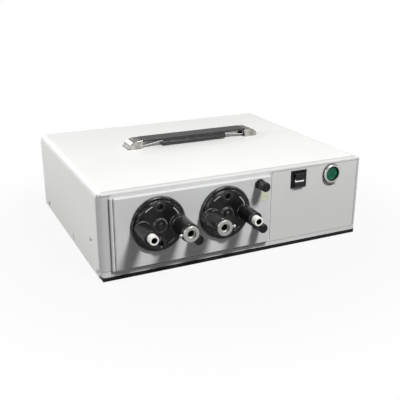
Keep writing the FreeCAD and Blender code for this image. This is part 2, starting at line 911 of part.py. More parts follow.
def rear_panel():
    """Sheet panel that closes the back and carries the fans, the inlet and the earth stud."""
    plate = block((-COVER_INSIDE + s.gap, COVER_INSIDE - s.gap), (REAR_INSIDE, REAR_FACE),
                  (s.rear_bottom, COVER_ROOF - s.gap))
    corner = s.cover_round - s.cover_sheet
    edge = COVER_INSIDE - s.gap
    deep = (REAR_INSIDE - s.overrun, REAR_FACE + s.overrun)
    corners = [block(x, deep, (COVER_ROOF - corner, s.case_height))
               for x in ((-SIDE, -edge + corner), (edge - corner, SIDE))]
    holes = [rod(x, REAR_INSIDE - s.overrun, FAN_Z, s.fan_bore_radius, s.overrun * 3, TO_BACK)
             for _, x in FAN_PLACES]
    holes.append(block(around(INLET_X, s.inlet_body_wide + s.gap * 2), deep,
                       around(s.inlet_height, s.inlet_body_tall + s.gap * 2)))
    holes.append(rod(STUD_X, REAR_INSIDE - s.overrun, s.inlet_height, s.stud_radius + s.press_fit,
                     s.overrun * 3, TO_BACK))
    pan_side = SIDE - s.pan_inset
    holes.append(block((-SIDE, -pan_side + s.pan_sheet + s.gap), deep, (s.foot_drop, STRIP_TOP + s.gap)))
    holes.append(block((pan_side - s.pan_sheet - s.gap, SIDE), deep, (s.foot_drop, STRIP_TOP + s.gap)))
    node(cut(plate, *corners, *holes), "rear_panel")


def partition():
    """Sheet wall between the lamp bay and the lamp supply, with its foot flange."""
    deep = (FRAME_BACK + s.rib_deep + s.gap, REAR_INSIDE - s.fan_deep - s.gap)
    wall = block((PARTITION_X, PARTITION_X + s.partition_sheet), deep,
                 (PAN_FLOOR, COVER_ROOF - s.partition_drop))
    flange = block((PARTITION_X, PARTITION_X + s.partition_flange), deep,
                   (PAN_FLOOR, PAN_FLOOR + s.partition_sheet))
    cable_hole = rod(PARTITION_X - s.overrun, (FRONT + BACK) / 2, s.inlet_height, s.cable_hole_radius,
                     s.overrun * 3, TO_RIGHT)
    node(cut(fuse(wall, flange), cable_hole), "partition")


def hinge_axis():
    """The place (x, y) of the door's hinge pin."""
    return DOOR_LEFT - s.barrel_out, FRONT - s.barrel_setback


def knuckle_span(index):
    """The low and high end of one hinge knuckle."""
    long = (DOOR_TOP - s.door_bottom) / s.knuckles
    low = s.door_bottom + long * index
    return low + s.gap / 2, low + long - s.gap / 2


def hinge():
    """Steel hinge leaf on the frame, under the door's edge, with every other knuckle and the pin."""
    x, y = hinge_axis()
    deep = (FRONT - s.leaf_sheet, FRONT)
    leaf = [block((DOOR_LEFT + s.gap, DOOR_LEFT + s.leaf_wide), deep, (s.door_bottom, DOOR_TOP))]
    for index in range(0, SIZES["knuckles"], 2):
        low, high = knuckle_span(index)
        leaf.append(rod(x, y, low, s.barrel_radius, high - low))
        leaf.append(block((x, DOOR_LEFT + s.leaf_wide), deep, (low, high)))
    pin = rod(x, y, s.door_bottom, s.hinge_pin_radius, DOOR_TOP - s.door_bottom)
    node(fuse(pin, *leaf), "hinge_leaf")


def turret_door():
    """Thick proud door plate with its own knuckles, turret bores, light holes and bush holes."""
    body = new_body()
    back = outline(body, "XZ_Plane", -FRONT + DOOR_BACK_OUT,
                   rectangle((DOOR_LEFT, DOOR_RIGHT), (s.door_bottom, DOOR_TOP)))
    pad(body, back, s.door_thick)
    soften(body, "Fillet", s.door_corner, lambda edge: runs(edge, "y"))
    soften(body, "Chamfer", s.door_bevel, lambda edge: near(edge.BoundBox.YMax, FRONT - DOOR_FACE_OUT))
    depth = s.door_thick + s.overrun * 2
    start = FRONT - DOOR_FACE_OUT - s.overrun
    holes = []
    for _, x, knob_x, _ in TURRETS:
        holes.append(rod(x, start, TURRET_Z, s.spigot_radius + s.running_fit, depth, TO_BACK))
        holes.append(rod(x + s.port_circle, start, TURRET_Z, s.port_hole_radius, depth, TO_BACK))
        holes.append(rod(knob_x, start, KNOB_Z, s.bush_radius + s.press_fit, depth, TO_BACK))
        holes.append(rod(x, start, TURRET_Z + s.detent_circle, s.detent_radius + s.press_fit,
                         s.overrun + s.detent_long, TO_BACK))
    holes.append(rod(LATCH_X, start, LATCH_Z, s.bush_radius + s.press_fit, depth, TO_BACK))
    holes.append(block((DOOR_LEFT - s.overrun, DOOR_LEFT + s.leaf_wide + s.gap),
                       (FRONT - s.leaf_sheet - s.gap, FRONT + s.overrun),
                       (s.door_bottom - s.overrun, DOOR_TOP + s.overrun)))
    x, y = hinge_axis()
    knuckles = []
    for index in range(1, SIZES["knuckles"], 2):
        low, high = knuckle_span(index)
        web = block((x, DOOR_LEFT + s.door_bevel), around(y, s.barrel_radius), (low, high))
        knuckles += [rod(x, y, low, s.barrel_radius, high - low), web]
    bore = rod(x, y, s.door_bottom - s.overrun, s.hinge_pin_radius + s.running_fit,
               DOOR_TOP - s.door_bottom + s.overrun * 2)
    gaps = []
    for index in range(0, SIZES["knuckles"], 2):
        low, high = knuckle_span(index)
        gaps.append(rod(x, y, low - s.gap, s.barrel_radius + s.gap, high - low + s.gap * 2))
    node(cut(fuse(cut(body, *holes, *gaps), *knuckles), bore), "turret_door")


def turret_plate(name, x):
    """Black turret: bevelled flange, raised disc, hub, spigot through the door and four port holes."""
    rim = TURRET_BACK_OUT + s.flange_thick
    hub = TURRET_BACK_OUT + s.hub_thick
    profile = [(s.hub_screw_shank_radius, -s.turret_nut_thick), (s.thread_radius, -s.turret_nut_thick),
               (s.thread_radius, 0), (s.spigot_radius, 0), (s.spigot_radius, TURRET_BACK_OUT),
               (s.flange_radius, TURRET_BACK_OUT), (s.flange_radius, rim - s.flange_bevel),
               (s.flange_radius - s.flange_bevel, rim), (s.disc_radius, rim), (s.disc_radius, DISC_OUT),
               (s.hub_radius, DISC_OUT), (s.hub_radius - s.disc_bevel, hub), (s.hub_screw_shank_radius, hub)]
    body = rounded(turned(profile, x, 0, TURRET_Z), s.disc_bevel, (s.disc_radius, DISC_OUT))
    tools = []
    deep = s.disc_thick + s.overrun * 2
    start = FRONT - DISC_OUT - s.overrun
    z = TURRET_Z
    for side in (1, -1):
        tools.append(rod(x + s.port_circle * side, start, z, s.port_hole_radius, deep, TO_BACK))
        tools.append(rod(x, start, z + s.socket_circle * side, s.socket_ring_radius, deep, TO_BACK))
    for turn in range(4):
        angle = math.radians(90 * turn)
        tools.append(rod(x + s.detent_circle * round(math.sin(angle)), FRONT - TURRET_BACK_OUT,
                         TURRET_Z + s.detent_circle * round(math.cos(angle)), s.detent_dimple_radius,
                         s.detent_dimple_deep, TO_FRONT))
    node(cut(body, *tools), f"turret_{name}")


def turret_fasteners(name, x):
    """Ring nut that keeps the turret's spigot in the door, and the slotted screw in its hub."""
    nut = cut(hexagon(x, FRONT + s.gap / 3, TURRET_Z, s.turret_nut_radius,
                      s.turret_nut_thick - s.gap, TO_BACK),
              rod(x, FRONT - s.overrun, TURRET_Z, s.thread_radius + s.press_fit,
                  s.turret_nut_thick + s.overrun * 2, TO_BACK))
    low = TURRET_BACK_OUT + s.hub_thick
    top = low + s.hub_screw_tall
    shank = s.hub_screw_shank_radius - s.press_fit
    profile = [(0, low - s.hub_screw_shank_long), (shank, low - s.hub_screw_shank_long), (shank, low),
               (s.hub_screw_radius, low), (s.hub_screw_radius, top), (0, top)]
    screw = rounded(turned(profile, x, 0, TURRET_Z), s.hub_screw_round, (s.hub_screw_radius, top))
    slot = block(around(x, s.hub_screw_radius * 2 + s.overrun),
                 (FRONT - top - s.overrun, FRONT - top + s.screw_slot_deep),
                 around(TURRET_Z, s.screw_slot))
    node(group(nut, cut(screw, slot)), f"turret_fasteners_{name}")


def slim_port(name, x, side):
    """Black port barrel and its white tip, on the turret's outer side."""
    place_x = x - s.port_circle * side
    stem = s.port_hole_radius - s.press_fit
    collar = s.slim_radius + s.port_collar_step
    rim = DISC_OUT + s.port_collar_thick
    bore = s.tip_radius + s.press_fit
    profile = [(s.light_bore_radius, TURRET_BACK_OUT + s.gap), (stem, TURRET_BACK_OUT + s.gap),
               (stem, DISC_OUT), (collar, DISC_OUT), (collar, rim),
               (s.slim_radius, rim), (s.slim_radius, s.slim_end_out), (bore, s.slim_end_out),
               (bore, s.tip_seat_out), (s.light_bore_radius, s.tip_seat_out)]
    body = rounded(turned(profile, place_x, 0, TURRET_Z), s.port_collar_round, (collar, rim))
    node(rounded(body, s.port_round, (s.slim_radius, s.slim_end_out)), f"slim_port_{name}")
    tip = [(s.tip_bore_radius, s.tip_seat_out), (s.tip_radius, s.tip_seat_out),
           (s.tip_radius, s.tip_end_out), (s.tip_bore_radius, s.tip_end_out)]
    node(rounded(turned(tip, place_x, 0, TURRET_Z), s.tip_bevel, (s.tip_radius, s.tip_end_out)),
         f"slim_tip_{name}")


def clamp_port(name, x, side):
    """Black port barrel and the chrome lock collar that turns in it by a ball-ended lever."""
    place_x = x + s.port_circle * side
    stem = s.port_hole_radius - s.press_fit
    bore = s.lock_shank_radius + s.running_fit
    shank = s.clamp_end_out - s.lock_shank_long
    groove = s.clamp_radius - s.clamp_groove_deep
    groove_end = s.clamp_groove_out + s.clamp_groove_wide
    collar = s.clamp_radius + s.port_collar_step
    rim = DISC_OUT + s.port_collar_thick
    profile = [(s.lock_bore_radius, TURRET_BACK_OUT + s.gap), (stem, TURRET_BACK_OUT + s.gap),
               (stem, DISC_OUT), (collar, DISC_OUT), (collar, rim), (s.clamp_radius, rim),
               (s.clamp_radius, s.clamp_groove_out), (groove, s.clamp_groove_out), (groove, groove_end),
               (s.clamp_radius, groove_end), (s.clamp_radius, s.clamp_end_out),
               (bore, s.clamp_end_out), (bore, shank - s.gap), (s.lock_bore_radius, shank - s.gap)]
    body = rounded(turned(profile, place_x, 0, TURRET_Z), s.port_collar_round, (collar, rim))
    node(rounded(body, s.port_round, (s.clamp_radius, s.clamp_end_out)), f"clamp_port_{name}")
    low = s.clamp_end_out + s.gap
    end = s.lock_end_out
    mouth = end - s.lock_mouth_deep
    profile = [(s.lock_bore_radius, shank), (s.lock_shank_radius, shank), (s.lock_shank_radius, low),
               (s.lock_radius, low), (s.lock_radius, end), (s.lock_mouth_radius, end),
               (s.lock_mouth_radius, mouth), (s.lock_bore_radius, mouth)]
    ring = rounded(turned(profile, place_x, 0, TURRET_Z), s.lock_bevel, (s.lock_radius, low),
                   (s.lock_radius, end))
    joined = node(fuse(ring, *lock_lever(place_x, side)), f"lock_collar_{name}")
    joined.Refine = False


def lock_lever(x, side):
    """The waisted neck and the ball on the side of a lock collar."""
    root = (s.lock_mouth_radius + s.lock_radius) / 2
    reach = s.lock_radius + s.lever_neck_long
    profile = [(0, root), (s.lever_neck_radius, root), (s.lever_neck_radius, s.lock_radius),
               (s.lever_waist_radius, s.lock_radius + s.lever_neck_long / 2), (s.lever_neck_radius, reach),
               (0, reach)]
    inward = Rotation(Vector(0, 1, 0), -90 * side)
    neck = place(turned(profile, x, s.lever_out, TURRET_Z, inward),
                 x, FRONT - s.lever_out, TURRET_Z, inward)
    ball = doc.addObject("Part::Sphere", "Ball")
    bind(ball, "Radius", s.ball_radius)
    centre = reach + s.ball_radius - s.ball_sink
    return neck, place(ball, x - centre * side, FRONT - s.lever_out, TURRET_Z)


def flush_sockets(name, x):
    """Two short sockets, above and below the hub."""
    stem = s.socket_stem_radius
    rim = DISC_OUT + s.socket_thick
    top = DISC_OUT + s.socket_ring_thick
    mouth = s.socket_bore_radius + s.socket_mouth_bevel
    profile = [(s.socket_bore_radius, TURRET_BACK_OUT + s.gap), (stem, TURRET_BACK_OUT + s.gap),
               (stem, DISC_OUT), (s.socket_radius, DISC_OUT), (s.socket_radius, rim),
               (s.socket_ring_radius, rim), (s.socket_ring_radius, top), (mouth, top),
               (s.socket_bore_radius, top - s.socket_mouth_bevel)]
    made = [rounded(turned(profile, x, 0, TURRET_Z + s.socket_circle * side), s.socket_thick / 2,
                    (s.socket_radius, rim), (s.socket_ring_radius, top)) for side in (1, -1)]
    node(group(*made), f"flush_sockets_{name}")


def door_fittings():
    """Spring plungers in the door that face the turrets' dimples, and the bushes of the three knobs."""
    low = DOOR_FACE_OUT - s.detent_long
    shoulder = DOOR_FACE_OUT - s.gap
    top = TURRET_BACK_OUT - s.gap / 2
    profile = [(0, low), (s.detent_radius, low), (s.detent_radius, shoulder),
               (s.detent_tip_radius, shoulder), (s.detent_tip_radius, top), (0, top)]
    made = [turned(profile, x, 0, TURRET_Z + s.detent_circle) for _, x, _, _ in TURRETS]
    for _, _, x, _ in TURRETS:
        made += bush(x, KNOB_Z)
    node(group(*made, *bush(LATCH_X, LATCH_Z)), "door_fittings")


def bush(x, z):
    """A threaded bush through the door, and its nut behind."""
    bore = s.shaft_radius + s.running_fit
    end = -s.bush_nut_thick - s.gap
    flange = DOOR_FACE_OUT + s.bush_flange_thick
    profile = [(bore, end), (s.bush_radius, end), (s.bush_radius, DOOR_FACE_OUT),
               (s.bush_flange_radius, DOOR_FACE_OUT), (s.bush_flange_radius, flange), (bore, flange)]
    nut = cut(hexagon(x, FRONT, z, s.bush_nut_radius, s.bush_nut_thick, TO_BACK),
              rod(x, FRONT - s.overrun, z, s.bush_radius + s.press_fit,
                  s.bush_nut_thick + s.overrun * 2, TO_BACK))
    return [turned(profile, x, 0, z), nut]


def knob(name, x, z):
    """Small black stepped knob: skirt, waist and rounded body."""
    low = DOOR_FACE_OUT + s.bush_flange_thick + s.gap
    skirt = low + s.knob_skirt_thick
    waist = skirt + s.knob_waist_long
    end = s.knob_end_out
    bore = s.shaft_radius + s.press_fit
    blind = low + s.shaft_grip_long
    profile = [(bore, low), (s.knob_radius, low), (s.knob_radius, skirt), (s.knob_waist_radius, skirt),
               (s.knob_waist_radius, waist), (s.knob_body_radius, waist), (s.knob_body_radius, end),
               (0, end), (0, blind), (bore, blind)]
    body = rounded(turned(profile, x, 0, z), s.skirt_round, (s.knob_radius, skirt),
                   (s.knob_body_radius, waist))
    node(rounded(body, s.knob_round, (s.knob_body_radius, end)), name)


def shaft(x, z, back):
    """A knob's shaft through its bush."""
    low = DOOR_FACE_OUT + s.bush_flange_thick + s.gap
    return rod(x, FRONT - low - s.shaft_grip_long + s.gap, z, s.shaft_radius,
               low + s.shaft_grip_long + back - s.gap, TO_BACK)


def shutter(name, x):
    """Intensity shutter: the knob's shaft with a notched vane that swings over the light hole."""
    z = KNOB_Z
    reach = (TURRET_Z - KNOB_Z) * math.sqrt(2)
    vane = (FRONT + s.vane_depth, FRONT + s.vane_depth + s.vane_sheet)
    arm = block((x - reach, x), vane, around(z, s.vane_arm_wide))
    disc = rod(x - reach, vane[0], z, s.vane_radius, s.vane_sheet, TO_BACK)
    body = new_body()
    rim = z + s.vane_radius + s.overrun
    wedge = outline(body, "XZ_Plane", -vane[1] - s.overrun,
                    [(x - reach - s.vane_radius / 4, rim), (x - reach, z + s.vane_radius / 2),
                     (x - reach + s.vane_radius / 4, rim)])
    pad(body, wedge, s.vane_sheet + s.overrun * 2)
    node(cut(fuse(arm, disc, shaft(x, z, s.vane_depth + s.vane_sheet + s.gap)), body), f"shutter_{name}")


def latch():
    """Door latch: knob, shaft and the pawl that swings behind the frame's divider."""
    x, z = LATCH_X, LATCH_Z
    face = FRAME_BACK + s.latch_clearance
    deep = (face, face + s.pawl_thick)
    back = s.frame_deep + s.latch_clearance + s.pawl_thick + s.gap
    round_end = rod(x, deep[0], z, s.pawl_wide / 2, s.pawl_thick, TO_BACK)
    arm = block(around(x, s.pawl_wide), deep, (z - s.pawl_long, z))
    node(fuse(arm, round_end, shaft(x, z, back)), "latch_pawl")
    knob("latch_knob", x, z)


def power_switch():
    """Square black switch body with its well, and the rocker on side pivots."""
    x, z = SWITCH_X, SWITCH_Z
    flange = block(around(x, s.switch_square), (FRONT - s.switch_proud, FRONT), around(z, s.switch_square))
    rim = doc.addObject("Part::Chamfer", "Bevel")
    rim.Base = flange
    doc.recompute()
    width = s.switch_proud.value / 2
    rim.Edges = [(index, width, width) for index, edge in enumerate(flange.Shape.Edges, start=1)
                 if near(edge.BoundBox.YMax, FRONT - s.switch_proud)]
    body = block(around(x, s.switch_body_square), (FRONT - s.switch_proud / 3, FRONT + s.switch_body_deep),
                 around(z, s.switch_body_square))
    well = block(around(x, s.well_wide), (FRONT - s.overrun, FRONT + s.well_deep), around(z, s.well_tall))
    pivot = rod(x - s.well_wide / 2 - s.pivot_long - s.gap, FRONT + s.rocker_pivot_in, z,
                s.pivot_radius + s.running_fit, s.well_wide + (s.pivot_long + s.gap) * 2, TO_RIGHT)
    tail = FRONT + s.switch_body_deep
    blades = [block(around(x, s.blade_wide), (tail, tail + s.blade_long),
                    around(z + s.blade_pitch * step, s.blade_thick)) for step in (-1, 0, 1)]
    node(fuse(cut(fuse(rim, body), well, pivot), *blades), "power_switch")
    rocker = new_body()
    half = s.rocker_tall / 2
    face = s.rocker_pivot_in + s.rocker_ridge_out
    tip = s.rocker_pivot_in + s.rocker_tip_out
    profile = outline(rocker, "YZ_Plane", -s.rocker_wide / 2,
                      [(-face, 0), (-tip, half), (s.rocker_back / 2, half), (s.rocker_back, 0),
                       (s.rocker_back / 2, -half), (-tip, -half)])
    pad(rocker, profile, s.rocker_wide)
    pin = rod(-s.rocker_wide / 2 - s.pivot_long, 0, 0, s.pivot_radius,
              s.rocker_wide + s.pivot_long * 2, TO_RIGHT)
    tilt = Rotation(Vector(1, 0, 0), SIZES["rocker_tilt"])
    node(place(fuse(rocker, pin), x, FRONT + s.rocker_pivot_in, z, tilt), "switch_rocker")


def push_button():
    """Silver ring with its gasket and nut, the green lens on its stem, and the contact block."""
    x, z = BUTTON_X, BUTTON_Z
    stem_bore = s.stem_radius + s.running_fit
    floor = s.ring_out - s.lens_recess - s.lens_thick - s.button_travel - s.gap
    barrel = s.barrel_body_radius
    profile = [(stem_bore, -s.barrel_body_long), (barrel, -s.barrel_body_long), (barrel, s.gasket_thick),
               (s.ring_radius, s.gasket_thick), (s.ring_radius, s.ring_out),
               (s.ring_bore_radius, s.ring_out), (s.ring_bore_radius, floor), (stem_bore, floor)]
    bezel = rounded(turned(profile, x, 0, z), s.ring_round, (s.ring_radius, s.ring_out))
    nut = cut(hexagon(x, FRONT + s.panel_thick, z, s.ring_nut_radius, s.ring_nut_thick, TO_BACK),
              rod(x, FRONT - s.overrun, z, barrel + s.press_fit,
                  s.overrun * 2 + s.panel_thick + s.ring_nut_thick, TO_BACK))
    node(group(bezel, nut), "button_ring")
    gasket = cut(rod(x, FRONT - s.gasket_thick, z, s.gasket_radius, s.gasket_thick, TO_BACK),
                 rod(x, FRONT - s.overrun, z, barrel + s.gap, s.overrun * 2, TO_BACK))
    node(gasket, "button_gasket")
    face = s.ring_out - s.lens_recess
    profile = [(0, -s.stem_long), (s.stem_radius, -s.stem_long), (s.stem_radius, face - s.lens_thick),
               (s.lens_radius, face - s.lens_thick), (s.lens_radius, face), (0, face)]
    node(rounded(turned(profile, x, 0, z), s.lens_round, (s.lens_radius, face)), "button_lens")
    start = FRONT + s.barrel_body_long
    contact = cut(block(around(x, s.contact_square), (start, start + s.contact_long),
                        around(z, s.contact_square)),
                  rod(x, start - s.overrun, z, s.stem_radius + s.gap, s.overrun + s.button_travel * 2,
                      TO_BACK))
    node(contact, "contact_block")


def handle_screw_places():
    """The places along X of the two handle screws."""
    reach = s.handle_long / 2 - s.cap_long + s.strap_tab_long / 2
    return [s.handle_x - reach, s.handle_x + reach]


def handle():
    """Carrying handle: bright end caps on the cover, black grip and the spring strap through it."""
    node(group(*[handle_cap(side) for side in (-1, 1)]), "handle_caps")
    node(handle_grip(), "handle_grip")
    node(handle_strap(), "handle_strap")


def handle_cap(side):
    """One hollow cap, sloping down to its outer end, open toward the grip, with a boss for its screw."""
    outer = s.handle_x + s.handle_long / 2 * side
    inner = outer - s.cap_long * side
    low = s.case_height
    top = low + s.cap_tall
    toe = low + s.cap_toe_tall
    slope = outer - s.cap_slope_run * side
    flat = outer - s.cap_flat_run * side
    near_side = -HANDLE_Y - s.cap_wide / 2
    shell = new_body()
    profile = outline(shell, "XZ_Plane", near_side,
                      [(outer, low), (outer, toe), (outer - s.cap_toe_run * side, toe + s.cap_toe_rise),
                       (slope, top - s.cap_slope_drop), (flat, top), (inner, top), (inner, low)])
    pad(shell, profile, s.cap_wide)
    soften(shell, "Fillet", s.cap_round, lambda edge: not runs(edge, "y")
           and not near(edge.CenterOfMass.z, low) and not near(edge.CenterOfMass.x, inner))
    hollow = new_body()
    wall = s.cap_wall
    inside = outline(hollow, "XZ_Plane", near_side + wall,
                     [(outer - wall * side, low - s.overrun), (outer - wall * side, toe - wall / 2),
                      (slope - wall / 2 * side, top - s.cap_slope_drop - wall), (flat, top - wall),
                      (inner - s.overrun * side, top - wall), (inner - s.overrun * side, low - s.overrun)])
    pad(hollow, inside, s.cap_wide - wall * 2)
    x = handle_screw_places()[0 if side < 0 else 1]
    boss = rod(x, HANDLE_Y, low, s.cap_boss_radius, s.cap_tall - wall)
    bore = rod(x, HANDLE_Y, low - s.overrun, s.handle_screw_radius + s.press_fit,
               s.handle_screw_long + s.overrun - s.handle_screw_head_tall - s.cover_sheet + s.gap)
    return cut(fuse(cut(shell, hollow), boss), bore)


def handle_grip():
    """Black grip: a flat top plate on a waisted bar, with open windows at both ends."""
    half = s.handle_long / 2 - s.cap_long - s.cap_clearance
    low = s.case_height + s.grip_lift
    top = s.case_height + s.cap_tall + s.cap_wall / 4
    plate = top - s.grip_plate
    bulge = low + s.grip_bulge_tall
    turn = s.grip_bulge_round
    wide = s.grip_wide / 2
    waist = s.grip_waist_wide / 2
    right = [(wide, top), (wide, plate), (waist, plate), (waist, bulge), (wide, bulge - turn),
             (wide, low + turn), (wide - turn, low)]
    corners = [(HANDLE_Y - y, z) for y, z in right] + [(HANDLE_Y + y, z) for y, z in reversed(right)]
    body = new_body()
    end = outline(body, "YZ_Plane", s.handle_x - half, corners)
    pad(body, end, half * 2)
    windows = [block(x, around(HANDLE_Y, s.grip_wide + s.overrun), (low - s.overrun, plate))
               for x in ((s.handle_x - half - s.overrun, s.handle_x - half + s.window_long),
                         (s.handle_x + half - s.window_long, s.handle_x + half + s.overrun))]
    height = s.case_height + s.strap_height
    tunnel = block(around(s.handle_x, half * 2), around(HANDLE_Y, s.strap_wide + s.gap),
                   (height - s.gap / 2, height + s.strap_thick + s.gap / 2))
    return cut(body, tunnel, *windows)


def handle_strap():
    """Spring-steel strap: level in the grip, sloping down in the windows to a slotted tab in each cap."""
    half = s.handle_long / 2
    tab_end = half - s.cap_long + s.strap_tab_long
    bend = half - s.cap_long - s.strap_slope_end
    level = half - s.cap_long - s.cap_clearance - s.window_long
    high = s.case_height + s.strap_height
    low = s.case_height + s.strap_tab_height
    thick = s.strap_thick
    x = s.handle_x
    under = [(-tab_end, low), (-bend, low), (-level, high), (level, high), (bend, low), (tab_end, low)]
    corners = [(x + along, z) for along, z in under]
    corners += [(x + along, z + thick) for along, z in reversed(under)]
    body = new_body()
    profile = outline(body, "XZ_Plane", -HANDLE_Y - s.strap_wide / 2, corners)
    pad(body, profile, s.strap_wide)
    slots = [block(around(place_x, s.strap_slot_long), around(HANDLE_Y, s.strap_slot_wide),
                   (low - s.overrun / 4, low + thick + s.overrun / 4)) for place_x in handle_screw_places()]
    return cut(body, *slots)


def beams():
    """The places along X of the two lamp beams, each behind its turret's right-hand port."""
    return [x + s.port_circle for _, x, _, _ in TURRETS]


def optics():
    """Holders on the pan in front of each lamp, with a heat filter and a condenser lens in each."""
    z = TURRET_Z
    start = FRONT + s.holder_setback
    ring_end = start + s.holder_sheet + s.holder_ring_long
    seat = start + s.holder_stop
    near_face = FRONT - seat - s.glass_thick - s.gap
    far_face = near_face - s.lens_glass_thick
    glasses, holders = [], []
    for x in beams():
        plate = block(around(x, s.holder_wide), (start, start + s.holder_sheet),
                      (PAN_FLOOR, COVER_ROOF - s.holder_drop))
        foot = block(around(x, s.holder_wide), (start, start + s.holder_foot),
                     (PAN_FLOOR, PAN_FLOOR + s.holder_sheet))
        tube = rod(x, start, z, s.holder_ring_radius, s.holder_sheet + s.holder_ring_long, TO_BACK)
        bore = rod(x, seat, z, s.glass_radius + s.press_fit, ring_end - seat + s.overrun, TO_BACK)
        mouth = rod(x, start - s.overrun, z, s.glass_radius - s.holder_stop, s.overrun * 2, TO_BACK)
        holders.append(cut(fuse(plate, foot, tube), bore, mouth))
        glasses.append(rod(x, seat, z, s.glass_radius, s.glass_thick, TO_BACK))
        profile = [(0, far_face), (s.glass_radius, far_face), (s.glass_radius, near_face), (0, near_face)]
        glasses.append(rounded(turned(profile, x, 0, z), s.lens_glass_round, (s.glass_radius, far_face)))
    node(group(*holders), "optic_holders")
    node(group(*glasses), "lamp_optics")


def lamp(x):
    """One ceramic arc lamp: stepped body, window dish and rear stud."""
    front = -s.lamp_setback
    rear = front - s.lamp_long
    dish = front - s.lamp_window_deep
    waist = s.lamp_radius - s.lamp_step
    profile = [(0, rear - s.lamp_stud_long), (s.lamp_stud_radius, rear - s.lamp_stud_long),
               (s.lamp_stud_radius, rear), (s.lamp_radius, rear), (s.lamp_radius, rear + s.sink_long),
               (waist, rear + s.sink_long), (waist, front - s.sink_long),
               (s.lamp_radius, front - s.sink_long), (s.lamp_radius, front), (s.lamp_window_radius, front),
               (s.lamp_dish_radius, dish), (0, dish)]
    return turned(profile, x, 0, TURRET_Z)


def heat_sink(x, start):
    """One finned clamp around a lamp end."""
    z = TURRET_Z
    deep = (start, start + s.sink_long)
    pitch = (s.sink_square - s.sink_fin_thick) / (s.sink_fins - 1)
    low = z - s.sink_square / 2
    fins = []
    for index in range(SIZES["sink_fins"]):
        fin = low + pitch * index
        fins.append(block(around(x, s.sink_square), deep, (fin, fin + s.sink_fin_thick)))
    hub = rod(x, start, z, s.sink_ring_radius, s.sink_long, TO_BACK)
    web = block(around(x, s.stand_wide), deep, around(z, s.sink_square))
    bore = rod(x, start - s.overrun, z, s.lamp_radius + s.press_fit, s.sink_long + s.overrun * 2, TO_BACK)
    return cut(fuse(hub, web, *fins), bore)


def lamps():
    """Both lamps with their heat sinks, insulating stands and igniters; the sinks are given back."""
    front_sink = FRONT + s.lamp_setback
    rear_sink = front_sink + s.lamp_long - s.sink_long
    made, sinks, stands, igniters = [], [], [], []
    under = TURRET_Z - s.sink_square / 2
    deep = (FRONT + s.igniter_setback, FRONT + s.igniter_setback + s.igniter_long)
    height = PAN_FLOOR + s.igniter_post_tall
    for x in beams():
        made.append(lamp(x))
        for start in (front_sink, rear_sink):
            sinks.append(heat_sink(x, start))
            stands.append(block(around(x, s.stand_wide), (start, start + s.sink_long), (PAN_FLOOR, under)))
        igniters.append(block(around(x, s.igniter_wide), deep, (height, height + s.igniter_tall)))
        for place_x in (x - s.igniter_wide / 3, x + s.igniter_wide / 3):
            stands.append(rod(place_x, (deep[0] + deep[1]) / 2, PAN_FLOOR, s.igniter_post_radius,
                              s.igniter_post_tall))
    node(group(*made), "lamps")
    node(group(*stands), "lamp_stands")
    node(group(*igniters), "igniters")
    return sinks


def lamp_supply():
    """Lamp supply board on its standoffs, with transformer and storage cans; gives its finned rack back."""
    near_y = FRONT + s.board_front_back
    far_y = REAR_INSIDE - s.board_rear_gap
    under = PAN_FLOOR + s.board_stand
    top = under + s.board_thick
    left = PARTITION_X + s.board_gap
    right = SIDE - s.board_inset
    node(block((left, right), (near_y, far_y), (under, top)), "supply_board")
    corners = [(x, y) for x in (left + s.board_screw_inset, right - s.board_screw_inset)
               for y in (near_y + s.board_screw_inset, far_y - s.board_screw_inset)]
    node(group(*[hexagon(x, y, PAN_FLOOR, s.standoff_radius, s.board_stand) for x, y in corners]),
         "board_standoffs")
    x = (left + right) / 2
    y = near_y + s.coil_long
    transformer(x, y, top)
    can_y = y + s.coil_long + s.can_pitch / 2
    node(group(*[rod(x + s.can_pitch * index, can_y, top, s.can_radius, s.can_tall)
                 for index in (-1, 0, 1)]), "storage_capacitors")
    rack_y = far_y - s.rack_long * 5 / 4
    rack = [block(around(x, s.rack_wide), around(rack_y, s.rack_long), (top, top + s.rack_base))]
    pitch = (s.rack_long - s.rack_fin_thick) / (s.rack_fins - 1)
    for index in range(SIZES["rack_fins"]):
        low = rack_y - s.rack_long / 2 + pitch * index
        rack.append(block(around(x, s.rack_wide), (low, low + s.rack_fin_thick), (top, top + s.rack_tall)))
    return fuse(*rack)


def transformer(x, y, low):
    """Laminated core with two windows, and the winding round its middle leg."""
    windows = [block(around(x + s.coil_wide / 4 * side, s.coil_leg), around(y, s.coil_long + s.overrun),
                     (low + s.coil_leg, low + s.coil_tall - s.coil_leg)) for side in (-1, 1)]
    core = cut(block(around(x, s.coil_wide), around(y, s.coil_long), (low, low + s.coil_tall)), *windows)
    leg = s.coil_wide / 2 - s.coil_leg
    wound = (low + s.coil_leg + s.gap, low + s.coil_tall - s.coil_leg - s.gap)
    winding = cut(block(around(x, leg + s.coil_winding * 2), around(y, s.coil_long + s.coil_winding * 2),
                        wound),
                  block(around(x, leg + s.gap), around(y, s.coil_long + s.gap),
                        (wound[0] - s.overrun, wound[1] + s.overrun)))
    node(core, "transformer_core")
    node(winding, "transformer_winding")


def fans():
    """Two square fans on the rear panel: frames, impellers and wire guards."""
    frames, guards = [], []
    for name, x in FAN_PLACES:
        frames.append(fan_frame(x, FAN_Z))
        fan_impeller(name, x, FAN_Z)
        guards.append(fan_guard(x, FAN_Z))
    node(group(*frames), "fan_frames")
    node(group(*guards), "fan_guards")


